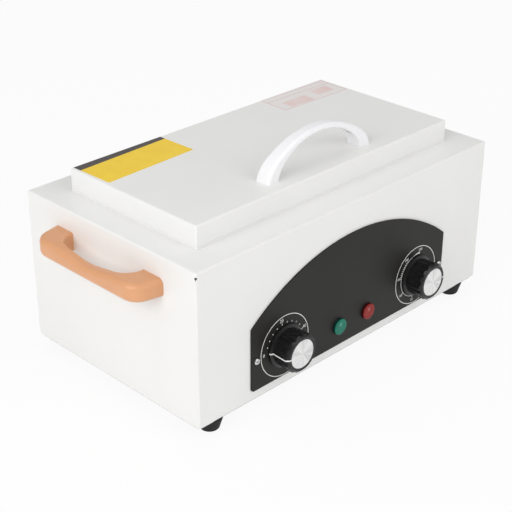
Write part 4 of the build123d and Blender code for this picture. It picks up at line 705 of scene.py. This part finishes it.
def lid_rim():
    """The lid's wall carried down to the ledge, round the chamber's flange."""
    shape = bmesh.new()
    size = LID_HIGH - LID_LOW + Vector((RIM_PROUD, RIM_PROUD, 0))
    centre = (LID_HIGH + LID_LOW) / 2
    place = Matrix.Translation((centre.x, centre.y, LID_LOW.z - RIM_DROP))
    flat_sheet(shape, place, size.x, size.y)
    round_corners(shape, LID_BEND, 8)
    field = shape.faces[:]
    bmesh.ops.inset_region(shape, faces=field, thickness=RIM_THICKNESS, use_even_offset=True,
                           use_boundary=True)
    bmesh.ops.delete(shape, geom=field, context="FACES")
    thicken(shape, RIM_DROP + RIM_LAP)
    bmesh.ops.recalc_face_normals(shape, faces=shape.faces)
    return finished_piece("lid_rim", shape, white_paint, "lid")


# radius and height of each point, from the screw's well round to its floor
FOOT_SECTION = ((4.8, 6.0), (4.8, 0.3), (5.1, 0.0), (6.9, 0.0), (7.8, 0.3), (8.3, 0.9),
                (8.6, 1.8), (11.2, 10.6), (11.4, 11.3), (11.1, 11.8), (2.4, 11.8), (2.4, 6.0))
FOOT_NODES = ("foot_front_left", "foot_front_right", "foot_rear_left", "foot_rear_right")


def rubber_foot(node):
    """A tapered foot turned from its section, with the well for its screw."""
    centre = middle(node)
    shape = bmesh.new()
    ring = [shape.verts.new((centre.x + radius * MM, centre.y, height * MM))
            for radius, height in FOOT_SECTION]
    edges = [shape.edges.new(pair) for pair in zip(ring, ring[1:] + ring[:1])]
    bmesh.ops.spin(shape, geom=ring + edges, axis=(0, 0, 1), cent=(centre.x, centre.y, 0),
                   steps=72, angle=math.tau, use_merge=True)
    bmesh.ops.recalc_face_normals(shape, faces=shape.faces)
    for face in shape.faces:
        face.smooth = True
    foot = finished_piece(f"{node}_rubber", shape, rubber, "housing")
    foot.data.set_sharp_from_angle(angle=math.radians(40))
    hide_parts(node)


# front left corner, turn, width and depth of each label
YELLOW_CORNER, YELLOW_TURN = (-149.8 * MM, 39.8 * MM), math.radians(1.7)
YELLOW_WIDTH, YELLOW_DEPTH, BAND_FROM = 95 * MM, 52 * MM, 35.6 * MM
PINK_CORNER, PINK_TURN = (66.8 * MM, 49.9 * MM), math.radians(-1.9)
PINK_WIDTH, PINK_DEPTH = 85 * MM, 42 * MM

timer_dial()
temperature_dial()
yellow_film = banded_label("yellow_label", YELLOW_CORNER, YELLOW_TURN, BAND_FROM)
lid_label("yellow_lid_label", YELLOW_CORNER, YELLOW_TURN, YELLOW_WIDTH, YELLOW_DEPTH, yellow_film)
pink_film = framed_label("pink_label", PINK_CORNER, PINK_TURN, PINK_WIDTH)
lid_label("pink_lid_label", PINK_CORNER, PINK_TURN, PINK_WIDTH, PINK_DEPTH, pink_film)
corner_welds()
lid_rim()
for foot_node in FOOT_NODES:
    rubber_foot(foot_node)


# Studio

FLOOR_GLOW = 0.9
ROOM_STRENGTH = 0.53
OBJECT_MIDDLE = Vector((0, 0, 0.1))


def floor_finish():
    """Pale, and nearly white to the camera and to clear or polished pieces."""
    finish = Finish("studio_floor", Specular_IOR_Level=0.1)
    patch = finish.noise(3.0, 3.0)
    pale, shade = (0.90, 0.90, 0.90), (0.885, 0.885, 0.885)
    finish.set("Base Color", finish.mix(finish.between(patch, 0.0, 1.0), pale, shade))
    finish.set("Roughness", finish.between(patch, 0.7, 0.8))
    rays = finish.node("ShaderNodeLightPath", {}, {}, "Is Camera Ray")
    glossy = Value(finish, rays.socket.node.outputs["Is Glossy Ray"])
    through = Value(finish, rays.socket.node.outputs["Is Transmission Ray"])
    seen = FLOOR_GLOW * (rays + glossy + through)
    white = {"Color": (1, 1, 1, 1), "Strength": 1.0}
    glow = finish.node("ShaderNodeEmission", {}, white)
    surface = Value(finish, finish.shader.outputs[0])
    both = finish.node("ShaderNodeMixShader", {}, {0: seen, 1: surface, 2: glow})
    output = finish.tree.nodes["Material Output"]
    finish.tree.links.new(both.socket, output.inputs["Surface"])
    return finish.material


def add_floor():
    """A wide floor at the feet."""
    shape = bmesh.new()
    bmesh.ops.create_grid(shape, x_segments=8, y_segments=8, size=12.0)
    mesh = bpy.data.meshes.new("studio_floor")
    shape.to_mesh(mesh)
    shape.free()
    mesh.materials.append(floor_finish())
    floor = bpy.data.objects.new("studio_floor", mesh)
    bpy.context.scene.collection.objects.link(floor)


def add_world():
    """Even light from all round, white behind the floor's edge."""
    world = bpy.data.worlds.new("studio")
    bpy.context.scene.world = world
    world.use_nodes = True
    tree = world.node_tree
    background = tree.nodes["Background"]
    background.inputs["Color"].default_value = (1, 1, 1, 1)
    rays = tree.nodes.new("ShaderNodeLightPath")
    seen = tree.nodes.new("ShaderNodeMath")
    seen.operation = "MAXIMUM"
    tree.links.new(rays.outputs["Is Camera Ray"], seen.inputs[0])
    tree.links.new(rays.outputs["Is Transmission Ray"], seen.inputs[1])
    strength = tree.nodes.new("ShaderNodeMapRange")
    strength.inputs["To Min"].default_value = ROOM_STRENGTH
    strength.inputs["To Max"].default_value = 1.0
    tree.links.new(seen.outputs[0], strength.inputs["Value"])
    tree.links.new(strength.outputs[0], background.inputs["Strength"])


def add_lamp(name, place, size, power):
    """A soft box that faces the object."""
    lamp = bpy.data.lights.new(name, "AREA")
    lamp.shape = "RECTANGLE"
    lamp.size, lamp.size_y = size
    lamp.energy = power
    box = bpy.data.objects.new(name, lamp)
    box.location = place
    towards = OBJECT_MIDDLE - Vector(place)
    box.rotation_euler = towards.to_track_quat("-Z", "Y").to_euler()
    bpy.context.scene.collection.objects.link(box)


def add_camera():
    """The photograph's angle, fitted to the casing's, lid's and panel's edges."""
    lens = bpy.data.cameras.new("camera")
    lens.sensor_width = 36.0
    lens.lens = 88.066
    lens.clip_start = 0.05
    lens.clip_end = 60.0
    camera = bpy.data.objects.new("camera", lens)
    camera.location = (-0.71996, -0.69549, 0.59024)
    camera.rotation_euler = Euler((1.087961, -0.001438, -0.786792))
    bpy.context.scene.collection.objects.link(camera)
    bpy.context.scene.camera = camera


add_floor()
add_world()
add_lamp("left_soft_box", (-1.7, -0.3, 1.0), (1.5, 1.2), 16.6)
add_lamp("front_soft_box", (0.2, -1.8, 1.1), (1.6, 1.2), 11.0)
add_lamp("top_soft_box", (0.1, 0.3, 2.0), (1.6, 1.6), 3.5)
add_camera()
bpy.context.scene.view_settings.view_transform = "Standard"
